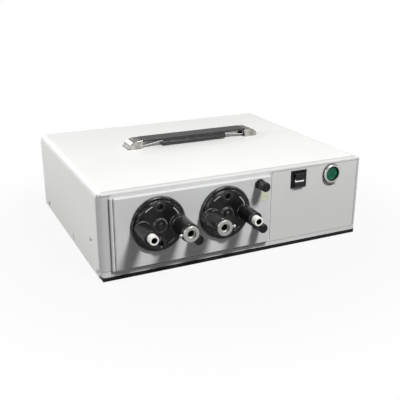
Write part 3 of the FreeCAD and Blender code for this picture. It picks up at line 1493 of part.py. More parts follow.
def fan_frame(x, z):
    """One square fan frame with its struts, motor hub and spindle."""
    start = REAR_INSIDE - s.fan_deep
    deep = (start, start + s.fan_motor_deep)
    across = s.fan_bore_radius * 2 + s.fan_clearance
    shell = new_body()
    square = outline(shell, "XZ_Plane", -REAR_INSIDE,
                     rectangle(around(x, s.fan_square), around(z, s.fan_square)), (x, z, s.fan_bore_radius))
    pad(shell, square, s.fan_deep)
    soften(shell, "Fillet", s.fan_corner, lambda edge: runs(edge, "y"))
    hub = rod(x, start, z, s.fan_hub_radius, s.fan_motor_deep, TO_BACK)
    struts = [block(around(x, across), deep, around(z, s.fan_strut_wide)),
              block(around(x, s.fan_strut_wide), deep, around(z, across))]
    spindle = rod(x, start, z, s.fan_spindle_radius, s.fan_spindle_long, TO_BACK)
    return fuse(shell, hub, *struts, spindle)


def fan_impeller(name, x, z):
    """One impeller: a cup with pitched blades, bored for the spindle."""
    start = REAR_INSIDE - s.fan_deep + s.fan_motor_deep + s.gap
    middle = start + s.fan_hub_deep / 2
    blades = []
    for index in range(SIZES["fan_blades"]):
        turn = Rotation(Vector(0, 1, 0), 360 * index / SIZES["fan_blades"])
        pitch = turn.multiply(Rotation(Vector(0, 0, 1), SIZES["fan_blade_pitch"]))
        across = pitch.multVec(Vector(-0.5, 0, 0))
        deep = pitch.multVec(Vector(0, -0.5, 0))
        blade = doc.addObject("Part::Box", "Blade")
        bind(blade, "Length", s.fan_blade_thick)
        bind(blade, "Width", s.fan_hub_deep)
        bind(blade, "Height", s.fan_bore_radius)
        corner = [s.fan_blade_thick * round(thick_share, 6) + s.fan_hub_deep * round(deep_share, 6)
                  for thick_share, deep_share in zip(across, deep)]
        blades.append(place(blade, x + corner[0], middle + corner[1], z + corner[2], pitch))
    sweep = cut(rod(x, start, z, s.fan_bore_radius - s.fan_clearance, s.fan_hub_deep, TO_BACK),
                rod(x, start - s.overrun, z, s.fan_hub_radius - s.fan_hub_wall,
                    s.fan_hub_deep + s.overrun * 2, TO_BACK))
    cup = rod(x, start, z, s.fan_hub_radius, s.fan_hub_deep, TO_BACK)
    bore = rod(x, start - s.overrun, z, s.fan_spindle_radius + s.running_fit,
               s.fan_spindle_long + s.overrun, TO_BACK)
    node(cut(fuse(common(fuse(*blades), sweep), cup), bore), f"fan_impeller_{name}")


def fan_guard(x, z):
    """One wire finger guard: rings on a cross of wires, with four eyes at the corners."""
    y = REAR_FACE + s.guard_wire
    wires = []
    for index in range(SIZES["guard_rings"]):
        radius = s.fan_bore_radius * (index + 1) / s.guard_rings
        wires.append(ring(x, y, z, radius, s.guard_wire, TO_BACK))
    for angle in (45, 135):
        turn = Rotation(Vector(0, 1, 0), angle)
        reach = s.guard_screw_circle * math.sqrt(2)
        lean = math.sqrt(2) / 2
        start_x = x - reach * math.copysign(lean, math.sin(math.radians(angle)))
        start_z = z - reach * math.copysign(lean, math.cos(math.radians(angle)))
        wires.append(rod(start_x, y, start_z, s.guard_wire, reach * 2, turn))
    return fuse(*wires)


def mains_inlet():
    """Moulded mains inlet with three pins, its flange, and the fuse drawer below the mouth."""
    x, z = INLET_X, s.inlet_height
    face = REAR_FACE + s.inlet_flange_thick
    flange = block(around(x, s.inlet_flange_wide), (REAR_FACE, face), around(z, s.inlet_flange_tall))
    body = block(around(x, s.inlet_body_wide), (face - s.inlet_body_deep, face),
                 around(z, s.inlet_body_tall))
    mouth_z = z + s.mouth_rise
    mouth = block(around(x, s.mouth_wide), (face - s.mouth_deep, face + s.overrun),
                  around(mouth_z, s.mouth_tall))
    drawer_z = z - s.drawer_drop
    well = block(around(x, s.drawer_wide + s.gap * 2), (face - s.drawer_deep - s.gap, face + s.overrun),
                 around(drawer_z, s.drawer_tall + s.gap * 2))
    pins = [block(around(x + s.pin_spread * side, s.pin_wide),
                  (face - s.mouth_deep, face - s.mouth_deep + s.pin_long),
                  around(mouth_z + s.pin_rise * rise, s.pin_tall))
            for side, rise in ((-1, -1), (0, 1), (1, -1))]
    node(fuse(cut(fuse(flange, body), mouth, well), *pins), "mains_inlet")
    drawer = block(around(x, s.drawer_wide), (face - s.drawer_deep, face), around(drawer_z, s.drawer_tall))
    lip = block(around(x, s.drawer_wide + s.drawer_lip * 2),
                (face + s.gap, face + s.gap + s.drawer_lip_thick),
                around(drawer_z, s.drawer_tall + s.drawer_lip * 2))
    neck = block(around(x, s.drawer_wide), (face, face + s.gap), around(drawer_z, s.drawer_tall))
    fuse_space = block(around(x, s.drawer_wide - s.drawer_lip * 2),
                       (face - s.drawer_deep + s.drawer_lip, face - s.drawer_lip),
                       (drawer_z - s.drawer_tall / 2 + s.drawer_lip, drawer_z + s.drawer_tall))
    node(cut(fuse(drawer, neck, lip), fuse_space), "fuse_drawer")


def earth_stud():
    """Equipotential stud on the rear panel, with its nut inside."""
    x, z = STUD_X, s.inlet_height
    nut = hexagon(x, REAR_INSIDE - s.stud_nut_radius / 2, z, s.stud_nut_radius, s.stud_nut_radius / 2,
                  TO_BACK)
    collar = hexagon(x, REAR_FACE, z, s.stud_nut_radius, s.stud_nut_radius / 4, TO_BACK)
    pin = rod(x, REAR_INSIDE - s.stud_nut_radius, z, s.stud_radius,
              s.stud_nut_radius + s.rear_sheet + s.stud_long, TO_BACK)
    node(fuse(nut, collar, pin), "earth_stud")


def build():
    """Make every sub-part."""
    base_pan()
    feet()
    top_cover()
    case_screws()
    blank = frame_blank()
    front_frame(blank)
    corner_posts(blank)
    control_panel()
    rear_panel()
    partition()
    hinge()
    turret_door()
    for name, x, knob_x, side in TURRETS:
        turret_plate(name, x)
        turret_fasteners(name, x)
        slim_port(name, x, side)
        clamp_port(name, x, side)
        flush_sockets(name, x)
        knob(f"intensity_knob_{name}", knob_x, KNOB_Z)
        shutter(name, knob_x)
    door_fittings()
    latch()
    power_switch()
    push_button()
    handle()
    optics()
    sinks = lamps()
    node(group(*sinks, lamp_supply()), "heat_sinks")
    fans()
    mains_inlet()
    earth_stud()


def check():
    """Stop if any object failed, or if a sub-part has no valid solid."""
    for item in doc.Objects:
        bad = [state for state in item.State if state in ("Invalid", "Error")]
        if bad:
            raise SystemExit(f"{item.Label} ({item.Name}) failed: {bad}")
    for item in nodes:
        if item.Shape.isNull() or not item.Shape.isValid() or not item.Shape.Solids:
            raise SystemExit(f"{item.Label} has no valid solid")


def write():
    """Write one STEP file for each sub-part."""
    os.makedirs("parts", exist_ok=True)
    for item in nodes:
        item.Shape.exportStep(f"parts/{item.Label}.step")
    print(len(nodes), "sub-parts written")


build()
doc.recompute()
check()
write()
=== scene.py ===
import bpy
import bmesh
import math
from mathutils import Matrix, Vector


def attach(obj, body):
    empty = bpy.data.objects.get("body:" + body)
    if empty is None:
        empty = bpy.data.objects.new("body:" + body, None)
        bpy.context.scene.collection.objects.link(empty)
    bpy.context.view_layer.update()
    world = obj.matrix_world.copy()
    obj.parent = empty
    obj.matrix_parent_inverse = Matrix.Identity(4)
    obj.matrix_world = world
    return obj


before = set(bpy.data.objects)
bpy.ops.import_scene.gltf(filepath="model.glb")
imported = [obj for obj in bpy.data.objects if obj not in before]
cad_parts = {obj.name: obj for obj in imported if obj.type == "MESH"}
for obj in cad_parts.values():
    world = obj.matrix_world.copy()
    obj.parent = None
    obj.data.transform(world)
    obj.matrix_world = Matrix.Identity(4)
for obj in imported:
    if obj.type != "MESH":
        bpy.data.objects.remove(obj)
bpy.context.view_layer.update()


# The view and the studio: the camera stands in front and to the left, a little above the cover.
# A soft box over the right front corner casts the shadows on the door, one at the left lights that
# side and one behind lights the cover. The room is dim and pale, and the table, which throws back
# little light, is seen as plain white.
camera_lens = bpy.data.cameras.new("bench_view")
camera_lens.sensor_width = 36.0
camera_lens.lens = 57.83
camera_lens.clip_start = 0.05
bench_view = bpy.data.objects.new("bench_view", camera_lens)
bench_view.location = (-0.39748, -0.8525, 0.38466)
bench_view.rotation_euler = (math.radians(69.88), 0.0, math.radians(-25.05))
bpy.context.scene.collection.objects.link(bench_view)
bpy.context.scene.camera = bench_view
bpy.context.scene.view_settings.view_transform = "Standard"


def soft_box(name, place, target, width, height, watts):
    lamp = bpy.data.lights.new(name, "AREA")
    lamp.shape = "RECTANGLE"
    lamp.size = width
    lamp.size_y = height
    lamp.energy = watts
    box = bpy.data.objects.new(name, lamp)
    box.location = place
    box.rotation_euler = (Vector(target) - Vector(place)).to_track_quat("-Z", "Y").to_euler()
    bpy.context.scene.collection.objects.link(box)


soft_box("front_soft_box", (0.42, -1.3, 1.72), (0, -0.04, 0.08), 0.4, 0.34, 54)
soft_box("left_soft_box", (-1.85, 0.3, 0.7), (-0.2, 0.02, 0.06), 0.9, 0.8, 20)
soft_box("rear_soft_box", (-0.7, 1.9, 1.05), (0, 0, 0.08), 1.1, 0.8, 13)

room = bpy.data.worlds.new("pale_room")
room.use_nodes = True
bpy.context.scene.world = room
air = room.node_tree
seen = air.nodes.new("ShaderNodeLightPath")
facing = air.nodes.new("ShaderNodeTexCoord")
upward = air.nodes.new("ShaderNodeSeparateXYZ")
air.links.new(facing.outputs["Generated"], upward.inputs[0])
ceiling = air.nodes.new("ShaderNodeMapRange")
ceiling.inputs["From Min"].default_value = 0.08
ceiling.inputs["From Max"].default_value = 0.8
ceiling.inputs["To Min"].default_value = 0.55
ceiling.inputs["To Max"].default_value = 0.1
air.links.new(upward.outputs["Z"], ceiling.inputs["Value"])
mirrored = air.nodes.new("ShaderNodeBackground")
air.links.new(ceiling.outputs[0], mirrored.inputs["Strength"])
filling = air.nodes.new("ShaderNodeBackground")
filling.inputs["Strength"].default_value = 0.05
behind = air.nodes.new("ShaderNodeBackground")
behind.inputs["Strength"].default_value = 1.0
for light in (mirrored, filling, behind):
    light.inputs["Color"].default_value = (1, 1, 1, 1)
reflected = air.nodes.new("ShaderNodeMath")
reflected.operation = "MAXIMUM"
air.links.new(seen.outputs["Is Glossy Ray"], reflected.inputs[0])
air.links.new(seen.outputs["Is Transmission Ray"], reflected.inputs[1])
lit_or_mirrored = air.nodes.new("ShaderNodeMixShader")
air.links.new(reflected.outputs[0], lit_or_mirrored.inputs[0])
air.links.new(filling.outputs[0], lit_or_mirrored.inputs[1])
air.links.new(mirrored.outputs[0], lit_or_mirrored.inputs[2])
looked_at = air.nodes.new("ShaderNodeMixShader")
air.links.new(seen.outputs["Is Camera Ray"], looked_at.inputs[0])
air.links.new(lit_or_mirrored.outputs[0], looked_at.inputs[1])
air.links.new(behind.outputs[0], looked_at.inputs[2])
air.links.new(looked_at.outputs[0], air.nodes["World Output"].inputs["Surface"])

bpy.ops.object.select_all(action="DESELECT")
bpy.ops.mesh.primitive_plane_add(size=12, location=(0, 0, -0.0004))
table_top = bpy.context.object
table_top.name = "table_top"
table_paper = bpy.data.materials.new("table_paper")
table_paper.use_nodes = True
paper = table_paper.node_tree
white = paper.nodes["Principled BSDF"]
white.inputs["Base Color"].default_value = (0.25, 0.25, 0.25, 1)
white.inputs["Roughness"].default_value = 0.9
white.inputs["Specular IOR Level"].default_value = 0.1
plain = paper.nodes.new("ShaderNodeEmission")
plain.inputs["Strength"].default_value = 1.0
spot = paper.nodes.new("ShaderNodeTexCoord")
reach = paper.nodes.new("ShaderNodeVectorMath")
reach.operation = "LENGTH"
paper.links.new(spot.outputs["Object"], reach.inputs[0])
path = paper.nodes.new("ShaderNodeLightPath")


def path_share(ray, near, far, least):
    """How much of the plain white a kind of ray sees, from close to the object outward."""
    fading = paper.nodes.new("ShaderNodeMapRange")
    fading.interpolation_type = "SMOOTHSTEP"
    fading.inputs["From Min"].default_value = near
    fading.inputs["From Max"].default_value = far
    fading.inputs["To Min"].default_value = least
    fading.inputs["To Max"].default_value = 1.0
    paper.links.new(reach.outputs["Value"], fading.inputs["Value"])
    part = paper.nodes.new("ShaderNodeMath")
    part.operation = "MULTIPLY"
    paper.links.new(path.outputs[ray], part.inputs[0])
    paper.links.new(fading.outputs[0], part.inputs[1])
    return part.outputs[0]


mirror_rays = paper.nodes.new("ShaderNodeMath")
mirror_rays.operation = "MAXIMUM"
paper.links.new(path_share("Is Glossy Ray", 0.25, 1.3, 0.25), mirror_rays.inputs[0])
paper.links.new(path_share("Is Transmission Ray", 0.25, 1.3, 0.5), mirror_rays.inputs[1])
share = paper.nodes.new("ShaderNodeMath")
share.operation = "MAXIMUM"
paper.links.new(path_share("Is Camera Ray", 0.24, 0.46, 0.93), share.inputs[0])
paper.links.new(mirror_rays.outputs[0], share.inputs[1])
blend = paper.nodes.new("ShaderNodeMixShader")
paper.links.new(share.outputs[0], blend.inputs[0])
paper.links.new(white.outputs[0], blend.inputs[1])
paper.links.new(plain.outputs[0], blend.inputs[2])
paper.links.new(blend.outputs[0], paper.nodes["Material Output"].inputs["Surface"])
table_top.data.materials.append(table_paper)


# Top cover: one folded steel sheet, powder coated in warm white, with a fine orange peel.
# The coat has yellowed a little in patches, its folds are rubbed, and dust lies on the top.
def start_effect(name, needs, gives):
    effect = bpy.data.node_groups.new(name, "ShaderNodeTree")
    for title, kind, value in needs:
        socket = effect.interface.new_socket(name=title, in_out="INPUT", socket_type=kind)
        socket.default_value = value
    for title, kind in gives:
        effect.interface.new_socket(name=title, in_out="OUTPUT", socket_type=kind)
    return effect, effect.nodes.new("NodeGroupInput"), effect.nodes.new("NodeGroupOutput")


def wire(tree, kind, settings=(), values=(), links=()):
    step = tree.nodes.new(kind)
    for name, value in dict(settings).items():
        setattr(step, name, value)
    for socket, value in dict(values).items():
        step.inputs[socket].default_value = value
    for socket, source in dict(links).items():
        tree.links.new(source, step.inputs[socket])
    return step


# Slow change of tone across a surface, as a coat ages unevenly.
tone_drift, asked, made = start_effect(
    "tone_drift",
    [("Clean", "NodeSocketColor", (0.8, 0.8, 0.8, 1)), ("Aged", "NodeSocketColor", (0.7, 0.7, 0.7, 1)),
     ("Patch", "NodeSocketFloat", 8.0)],
    [("Colour", "NodeSocketColor"), ("Age", "NodeSocketFloat")])
where = wire(tone_drift, "ShaderNodeTexCoord")
wide = wire(tone_drift, "ShaderNodeTexNoise", values={"Detail": 3.0, "Roughness": 0.55},
            links={"Vector": where.outputs["Object"], "Scale": asked.outputs["Patch"]})
spread = wire(tone_drift, "ShaderNodeMapRange", values={"From Min": 0.32, "From Max": 0.7},
              links={"Value": wide.outputs["Fac"]})
toned = wire(tone_drift, "ShaderNodeMix", settings={"data_type": "RGBA"},
             links={0: spread.outputs[0], 6: asked.outputs["Clean"], 7: asked.outputs["Aged"]})
tone_drift.links.new(toned.outputs[2], made.inputs["Colour"])
tone_drift.links.new(spread.outputs[0], made.inputs["Age"])

# Fine grain of a sprayed or moulded skin: rounded cells with smaller specks between them.
skin_grain, asked, made = start_effect(
    "skin_grain", [("Grain", "NodeSocketFloat", 1500.0)],
    [("Height", "NodeSocketFloat"), ("Speck", "NodeSocketFloat")])
where = wire(skin_grain, "ShaderNodeTexCoord")
cells = wire(skin_grain, "ShaderNodeTexVoronoi", settings={"feature": "SMOOTH_F1"},
             values={"Smoothness": 0.7},
             links={"Vector": where.outputs["Object"], "Scale": asked.outputs["Grain"]})
finer = wire(skin_grain, "ShaderNodeMath", settings={"operation": "MULTIPLY"}, values={1: 2.3},
             links={0: asked.outputs["Grain"]})
specks = wire(skin_grain, "ShaderNodeTexNoise", values={"Detail": 2.0},
              links={"Vector": where.outputs["Object"], "Scale": finer.outputs[0]})
skin = wire(skin_grain, "ShaderNodeMath", settings={"operation": "MULTIPLY_ADD"}, values={1: 0.45},
            links={0: specks.outputs["Fac"], 2: cells.outputs["Distance"]})
skin_grain.links.new(skin.outputs[0], made.inputs["Height"])
skin_grain.links.new(specks.outputs["Fac"], made.inputs["Speck"])

# Rubbed edges, on some finishes lightened as painted highlights too: where a face turns sharply,
# broken up so that the rub comes and goes.
edge_wear_and_glint, asked, made = start_effect(
    "edge_wear_and_glint", [("Width", "NodeSocketFloat", 0.0006), ("Amount", "NodeSocketFloat", 0.5)],
    [("Mask", "NodeSocketFloat")])
where = wire(edge_wear_and_glint, "ShaderNodeTexCoord")
true_face = wire(edge_wear_and_glint, "ShaderNodeNewGeometry")
round_face = wire(edge_wear_and_glint, "ShaderNodeBevel", settings={"samples": 4},
                  links={"Radius": asked.outputs["Width"]})
agree = wire(edge_wear_and_glint, "ShaderNodeVectorMath", settings={"operation": "DOT_PRODUCT"},
             links={0: round_face.outputs[0], 1: true_face.outputs["Normal"]})
turning = wire(edge_wear_and_glint, "ShaderNodeMapRange", values={"From Min": 0.995, "From Max": 0.85},
               links={"Value": agree.outputs["Value"]})
fray = wire(edge_wear_and_glint, "ShaderNodeTexNoise", values={"Scale": 95.0, "Detail": 4.0, "Roughness": 0.7},
            links={"Vector": where.outputs["Object"]})
kept = wire(edge_wear_and_glint, "ShaderNodeMapRange", values={"From Min": 0.4, "From Max": 0.62},
            links={"Value": fray.outputs["Fac"]})
worn_and_glint = wire(edge_wear_and_glint, "ShaderNodeMath", settings={"operation": "MULTIPLY"},
            links={0: turning.outputs[0], 1: kept.outputs[0]})
rubbed_and_glint = wire(edge_wear_and_glint, "ShaderNodeMath", settings={"operation": "MULTIPLY", "use_clamp": True},
              links={0: worn_and_glint.outputs[0], 1: asked.outputs["Amount"]})
edge_wear_and_glint.links.new(rubbed_and_glint.outputs[0], made.inputs["Mask"])

# Dust that has settled on faces that look up, thicker in some places.
settled_dust, asked, made = start_effect(
    "settled_dust", [("Amount", "NodeSocketFloat", 0.1)], [("Mask", "NodeSocketFloat")])
where = wire(settled_dust, "ShaderNodeTexCoord")
true_face = wire(settled_dust, "ShaderNodeNewGeometry")
up = wire(settled_dust, "ShaderNodeSeparateXYZ", links={0: true_face.outputs["Normal"]})
level = wire(settled_dust, "ShaderNodeMapRange", values={"From Min": 0.25, "From Max": 0.95},
             links={"Value": up.outputs["Z"]})
drift = wire(settled_dust, "ShaderNodeTexNoise", values={"Scale": 26.0, "Detail": 6.0, "Roughness": 0.65},
             links={"Vector": where.outputs["Object"]})
lying = wire(settled_dust, "ShaderNodeMath", settings={"operation": "MULTIPLY"},
             links={0: level.outputs[0], 1: drift.outputs["Fac"]})
amount = wire(settled_dust, "ShaderNodeMath", settings={"operation": "MULTIPLY", "use_clamp": True},
              links={0: lying.outputs[0], 1: asked.outputs["Amount"]})
settled_dust.links.new(amount.outputs[0], made.inputs["Mask"])


def group_step(tree, effect, values=(), links=()):
    step = tree.nodes.new("ShaderNodeGroup")
    step.node_tree = effect
    for socket, value in dict(values).items():
        step.inputs[socket].default_value = value
    for socket, source in dict(links).items():
        tree.links.new(source, step.inputs[socket])
    return step


def mix_colour(tree, factor, first, second):
    step = wire(tree, "ShaderNodeMix", settings={"data_type": "RGBA"}, links={0: factor})
    for socket, colour in ((6, first), (7, second)):
        if isinstance(colour, tuple):
            step.inputs[socket].default_value = colour + (1,)
        else:
            tree.links.new(colour, step.inputs[socket])
    return step.outputs[2]


def coated(name, clean, aged, rubbed_and_glint, roughness, grain=1500, depth=0.00002, patch=8, rub_and_glint=0.5,
           width=0.0006, dust=0.15, gloss_coat=0.0, gleam=0.5, round_off=0.0):
    """A painted, powder coated or moulded skin with grain, drift of tone, rubbed edges and dust; on the
    turrets, ports, sockets and door the lighter edge colour is also a painted highlight.

    Grain and patch are scales, depth, width and round_off are in metres, and rub_and_glint and dust are
    shares.
    """
    finish = bpy.data.materials.new(name)
    finish.use_nodes = True
    tree = finish.node_tree
    shader = tree.nodes["Principled BSDF"]
    tones = group_step(tree, tone_drift,
                       {"Clean": clean + (1,), "Aged": aged + (1,), "Patch": patch})
    skin = group_step(tree, skin_grain, {"Grain": grain})
    edges = group_step(tree, edge_wear_and_glint, {"Width": width, "Amount": rub_and_glint})
    lying = group_step(tree, settled_dust, {"Amount": dust})
    worn_and_glint = mix_colour(tree, edges.outputs["Mask"], tones.outputs["Colour"], rubbed_and_glint)
    dusty = mix_colour(tree, lying.outputs["Mask"], worn_and_glint, (0.42, 0.4, 0.37))
    tree.links.new(dusty, shader.inputs["Base Color"])
    uneven = wire(tree, "ShaderNodeMapRange",
                  values={"From Min": 0.3, "From Max": 0.7, "To Min": roughness * 0.9,
                          "To Max": roughness * 1.14},
                  links={"Value": skin.outputs["Speck"]})
    matted = wire(tree, "ShaderNodeMath", settings={"operation": "MULTIPLY_ADD", "use_clamp": True},
                  values={1: 0.5}, links={0: lying.outputs["Mask"], 2: uneven.outputs[0]})
    tree.links.new(matted.outputs[0], shader.inputs["Roughness"])
    relief = wire(tree, "ShaderNodeBump", values={"Distance": depth},
                  links={"Height": skin.outputs["Height"]})
    if round_off:
        rounded = wire(tree, "ShaderNodeBevel", settings={"samples": 6}, values={"Radius": round_off})
        tree.links.new(rounded.outputs[0], relief.inputs["Normal"])
    tree.links.new(relief.outputs[0], shader.inputs["Normal"])
    shader.inputs["Specular IOR Level"].default_value = gleam
    shader.inputs["Coat Weight"].default_value = gloss_coat
    shader.inputs["Coat Roughness"].default_value = 0.12
    return finish


def dress(finish, *names):
    for name in names:
        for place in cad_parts[name].material_slots:
            place.material = finish


cover_coat = coated("cover_warm_white", (0.85, 0.848, 0.836), (0.82, 0.815, 0.795), (0.7, 0.69, 0.66),
                    0.42, grain=900, depth=0.00003, patch=5, rub_and_glint=0.25, width=0.0012, dust=0.08)
dress(cover_coat, "top_cover")


# Base pan and feet: the pan is folded sheet in satin black, the feet are pushed-in rubber.
# The pan's edge shows as a dark line under the cover, dusty and scuffed where it is handled.
pan_paint = coated("pan_satin_black", (0.008, 0.008, 0.009), (0.013, 0.013, 0.013), (0.1, 0.1, 0.1),
                   0.42, grain=1400, depth=0.00003, rub_and_glint=0.4, dust=0.12, gleam=0.2)
dress(pan_paint, "base_pan")
foot_rubber = coated("foot_rubber", (0.02, 0.02, 0.02), (0.035, 0.034, 0.033), (0.07, 0.07, 0.068),
                     0.75, grain=2200, depth=0.00005, rub_and_glint=0.6, dust=0.4)
dress(foot_rubber, "feet", "button_gasket")


# Front frame, hinge leaf, corner posts, control panel and rear panel: cast and sheet aluminium in
# satin silver greys, the posts a shade darker. The posts' corners and the rails' top are rubbed.
frame_paint = coated("frame_silver_grey", (0.62, 0.62, 0.615), (0.58, 0.58, 0.575), (0.8, 0.8, 0.79),
                     0.44, grain=2400, depth=0.000012, patch=7, rub_and_glint=0.6, width=0.0012, dust=0.08,
                     gleam=0.3)
dress(frame_paint, "front_frame", "hinge_leaf")
post_paint = coated("post_satin_grey", (0.53, 0.53, 0.53), (0.48, 0.48, 0.48), (0.74, 0.74, 0.73), 0.46,
                    grain=2400, depth=0.000012, patch=9, rub_and_glint=0.5, dust=0.06, gleam=0.25)
dress(post_paint, "corner_posts")
panel_film = coated("panel_grey_film", (0.62, 0.62, 0.61), (0.57, 0.57, 0.56), (0.7, 0.7, 0.68),
                    0.5, grain=3000, depth=0.00001, patch=6, rub_and_glint=0.3, dust=0.05, gleam=0.3)
dress(panel_film, "control_panel")
rear_paint = coated("rear_panel_grey", (0.6, 0.6, 0.58), (0.55, 0.55, 0.53), (0.7, 0.7, 0.68),
                    0.48, grain=1300, depth=0.00002, patch=9, rub_and_glint=0.4, dust=0.2)
dress(rear_paint, "rear_panel")


# Plain metals: screws, the partition, shafts and fasteners, drawn or rolled and left bare. Drawing
# leaves fine lines, and handling leaves duller, darker stains.
drawn_lines, asked, made = start_effect(
    "drawn_lines",
    [("Stretch", "NodeSocketVector", (1.0, 1.0, 1.0)), ("Lines", "NodeSocketFloat", 900.0)],
    [("Height", "NodeSocketFloat")])
where = wire(drawn_lines, "ShaderNodeTexCoord")
pulled = wire(drawn_lines, "ShaderNodeVectorMath", settings={"operation": "MULTIPLY"},
              links={0: where.outputs["Object"], 1: asked.outputs["Stretch"]})
streaks = wire(drawn_lines, "ShaderNodeTexNoise", values={"Detail": 5.0, "Roughness": 0.7},
               links={"Vector": pulled.outputs[0], "Scale": asked.outputs["Lines"]})
drawn_lines.links.new(streaks.outputs["Fac"], made.inputs["Height"])


def bare_metal(name, clean, stained, roughness, stretch=(1, 0.05, 1), lines=900, depth=0.000006,
               patch=40, rub_and_glint=0.4, width=0.0003, dust=0.1):
    """A bare or plated metal with drawn lines, stains and brighter edges, in the units of coated."""
    finish = bpy.data.materials.new(name)
    finish.use_nodes = True
    tree = finish.node_tree
    shader = tree.nodes["Principled BSDF"]
    shader.inputs["Metallic"].default_value = 1.0
    tones = group_step(tree, tone_drift,
                       {"Clean": clean + (1,), "Aged": stained + (1,), "Patch": patch})
    drawing = group_step(tree, drawn_lines, {"Stretch": stretch, "Lines": lines})
    edges = group_step(tree, edge_wear_and_glint, {"Width": width, "Amount": rub_and_glint})
    lying = group_step(tree, settled_dust, {"Amount": dust})
    bright = tuple(min(1.0, value * 1.15) for value in clean)
    worn_and_glint = mix_colour(tree, edges.outputs["Mask"], tones.outputs["Colour"], bright)
    dusty = mix_colour(tree, lying.outputs["Mask"], worn_and_glint, (0.4, 0.38, 0.35))
    tree.links.new(dusty, shader.inputs["Base Color"])
    uneven = wire(tree, "ShaderNodeMapRange",
                  values={"From Min": 0.25, "From Max": 0.75, "To Min": roughness * 0.75,
                          "To Max": roughness * 1.3},
                  links={"Value": drawing.outputs["Height"]})
    dull = wire(tree, "ShaderNodeMath", settings={"operation": "MULTIPLY_ADD", "use_clamp": True},
                values={1: 0.12}, links={0: tones.outputs["Age"], 2: uneven.outputs[0]})
    tree.links.new(dull.outputs[0], shader.inputs["Roughness"])
    relief = wire(tree, "ShaderNodeBump", values={"Distance": depth},
                  links={"Height": drawing.outputs["Height"]})
    tree.links.new(relief.outputs[0], shader.inputs["Normal"])
    return finish


screw_steel = bare_metal("screw_steel", (0.66, 0.66, 0.67), (0.5, 0.49, 0.48), 0.28,
                         stretch=(1, 1, 1), lines=1500)
dress(screw_steel, "case_screws")
black_oxide = bare_metal("black_oxide_steel", (0.075, 0.075, 0.08), (0.05, 0.048, 0.046), 0.26,
                         stretch=(1, 1, 1), lines=1500, dust=0.05)
dress(black_oxide, "turret_fasteners_left", "turret_fasteners_right")
zinc_plate = bare_metal("zinc_plate", (0.6, 0.61, 0.62), (0.5, 0.51, 0.5), 0.4,
                        stretch=(1, 1, 0.08), lines=500, patch=30)
dress(zinc_plate, "partition", "optic_holders")


# Turret door: a thick plate with a machined bevel, sprayed in a darker satin silver that reads as
# a soft gradient. Its rim and the bevel are lightened in colour, partly as wear from years of
# opening and partly as a painted highlight.
door_paint = coated("door_satin_silver", (0.61, 0.613, 0.62), (0.55, 0.553, 0.56), (0.86, 0.86, 0.86),
                    0.4, grain=2600, depth=0.00002, patch=6, rub_and_glint=0.8, width=0.001, dust=0.08,
                    gleam=0.3)
dress(door_paint, "turret_door")
bush_plate = bare_metal("bush_nickel", (0.7, 0.64, 0.5), (0.55, 0.5, 0.4), 0.3, stretch=(1, 1, 1))
dress(bush_plate, "door_fittings")


# Painted shadow: a thin black strip on the frame's lower rail, right under the door's lower edge,
# stands for the shade that the door casts there.
door_shadow_paint = coated("door_shadow_black", (0.012, 0.012, 0.012), (0.022, 0.022, 0.021),
                     (0.05, 0.05, 0.05), 0.8, grain=1500, depth=0.0001, rub_and_glint=0.4, dust=0.1, gleam=0.2)
bpy.ops.object.select_all(action="DESELECT")
bpy.ops.mesh.primitive_cube_add(size=1, location=(-0.0605, -0.1326, 0.01565))
door_shadow_strip = bpy.context.object
door_shadow_strip.name = "door_shadow_strip"
door_shadow_strip.scale = (0.206, 0.0002, 0.0043)
bpy.ops.object.transform_apply(location=True, rotation=True, scale=True)
bpy.ops.object.mode_set(mode="EDIT")
bpy.ops.mesh.select_all(action="SELECT")
bpy.ops.mesh.subdivide(number_cuts=8)
bpy.ops.object.mode_set(mode="OBJECT")
edge_round = door_shadow_strip.modifiers.new("edge_round", "BEVEL")
edge_round.width = 0.00008
edge_round.segments = 2
edge_round.angle_limit = math.radians(40)
bpy.ops.object.modifier_apply(modifier="edge_round")
door_shadow_strip.data.materials.append(door_shadow_paint)
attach(door_shadow_strip, "casing")


# Turrets: turned aluminium discs, bead blasted and black anodised, with satin ports screwed in. The
# rims are lightened in colour, partly as wear to bright metal and partly as painted highlights, and
# the bores behind the tips and collars are painted dark inside as shade.
turret_skin = coated("turret_black_anodise", (0.006, 0.006, 0.0065), (0.01, 0.01, 0.011),
                     (0.7, 0.7, 0.7), 0.22, grain=1000, depth=0.00012, patch=30, rub_and_glint=1.0,
                     width=0.0011, dust=0.03, gleam=0.34, round_off=0.0011)
dress(turret_skin, "turret_left", "turret_right")
port_skin = coated("port_satin_black", (0.006, 0.006, 0.0065), (0.01, 0.01, 0.011),
                   (0.65, 0.65, 0.65), 0.2, grain=2000, depth=0.00003, patch=40, rub_and_glint=0.8,
                   width=0.0008, dust=0.03, gleam=0.4, round_off=0.0006)
dress(port_skin, "slim_port_left", "slim_port_right", "clamp_port_left", "clamp_port_right")
socket_skin = coated("socket_black", (0.006, 0.006, 0.007), (0.01, 0.01, 0.011), (0.4, 0.4, 0.4),
                     0.2, grain=2600, depth=0.00002, patch=40, rub_and_glint=0.9, width=0.0007, dust=0.04,
                     gleam=0.5, round_off=0.0006)
dress(socket_skin, "flush_sockets_left", "flush_sockets_right")


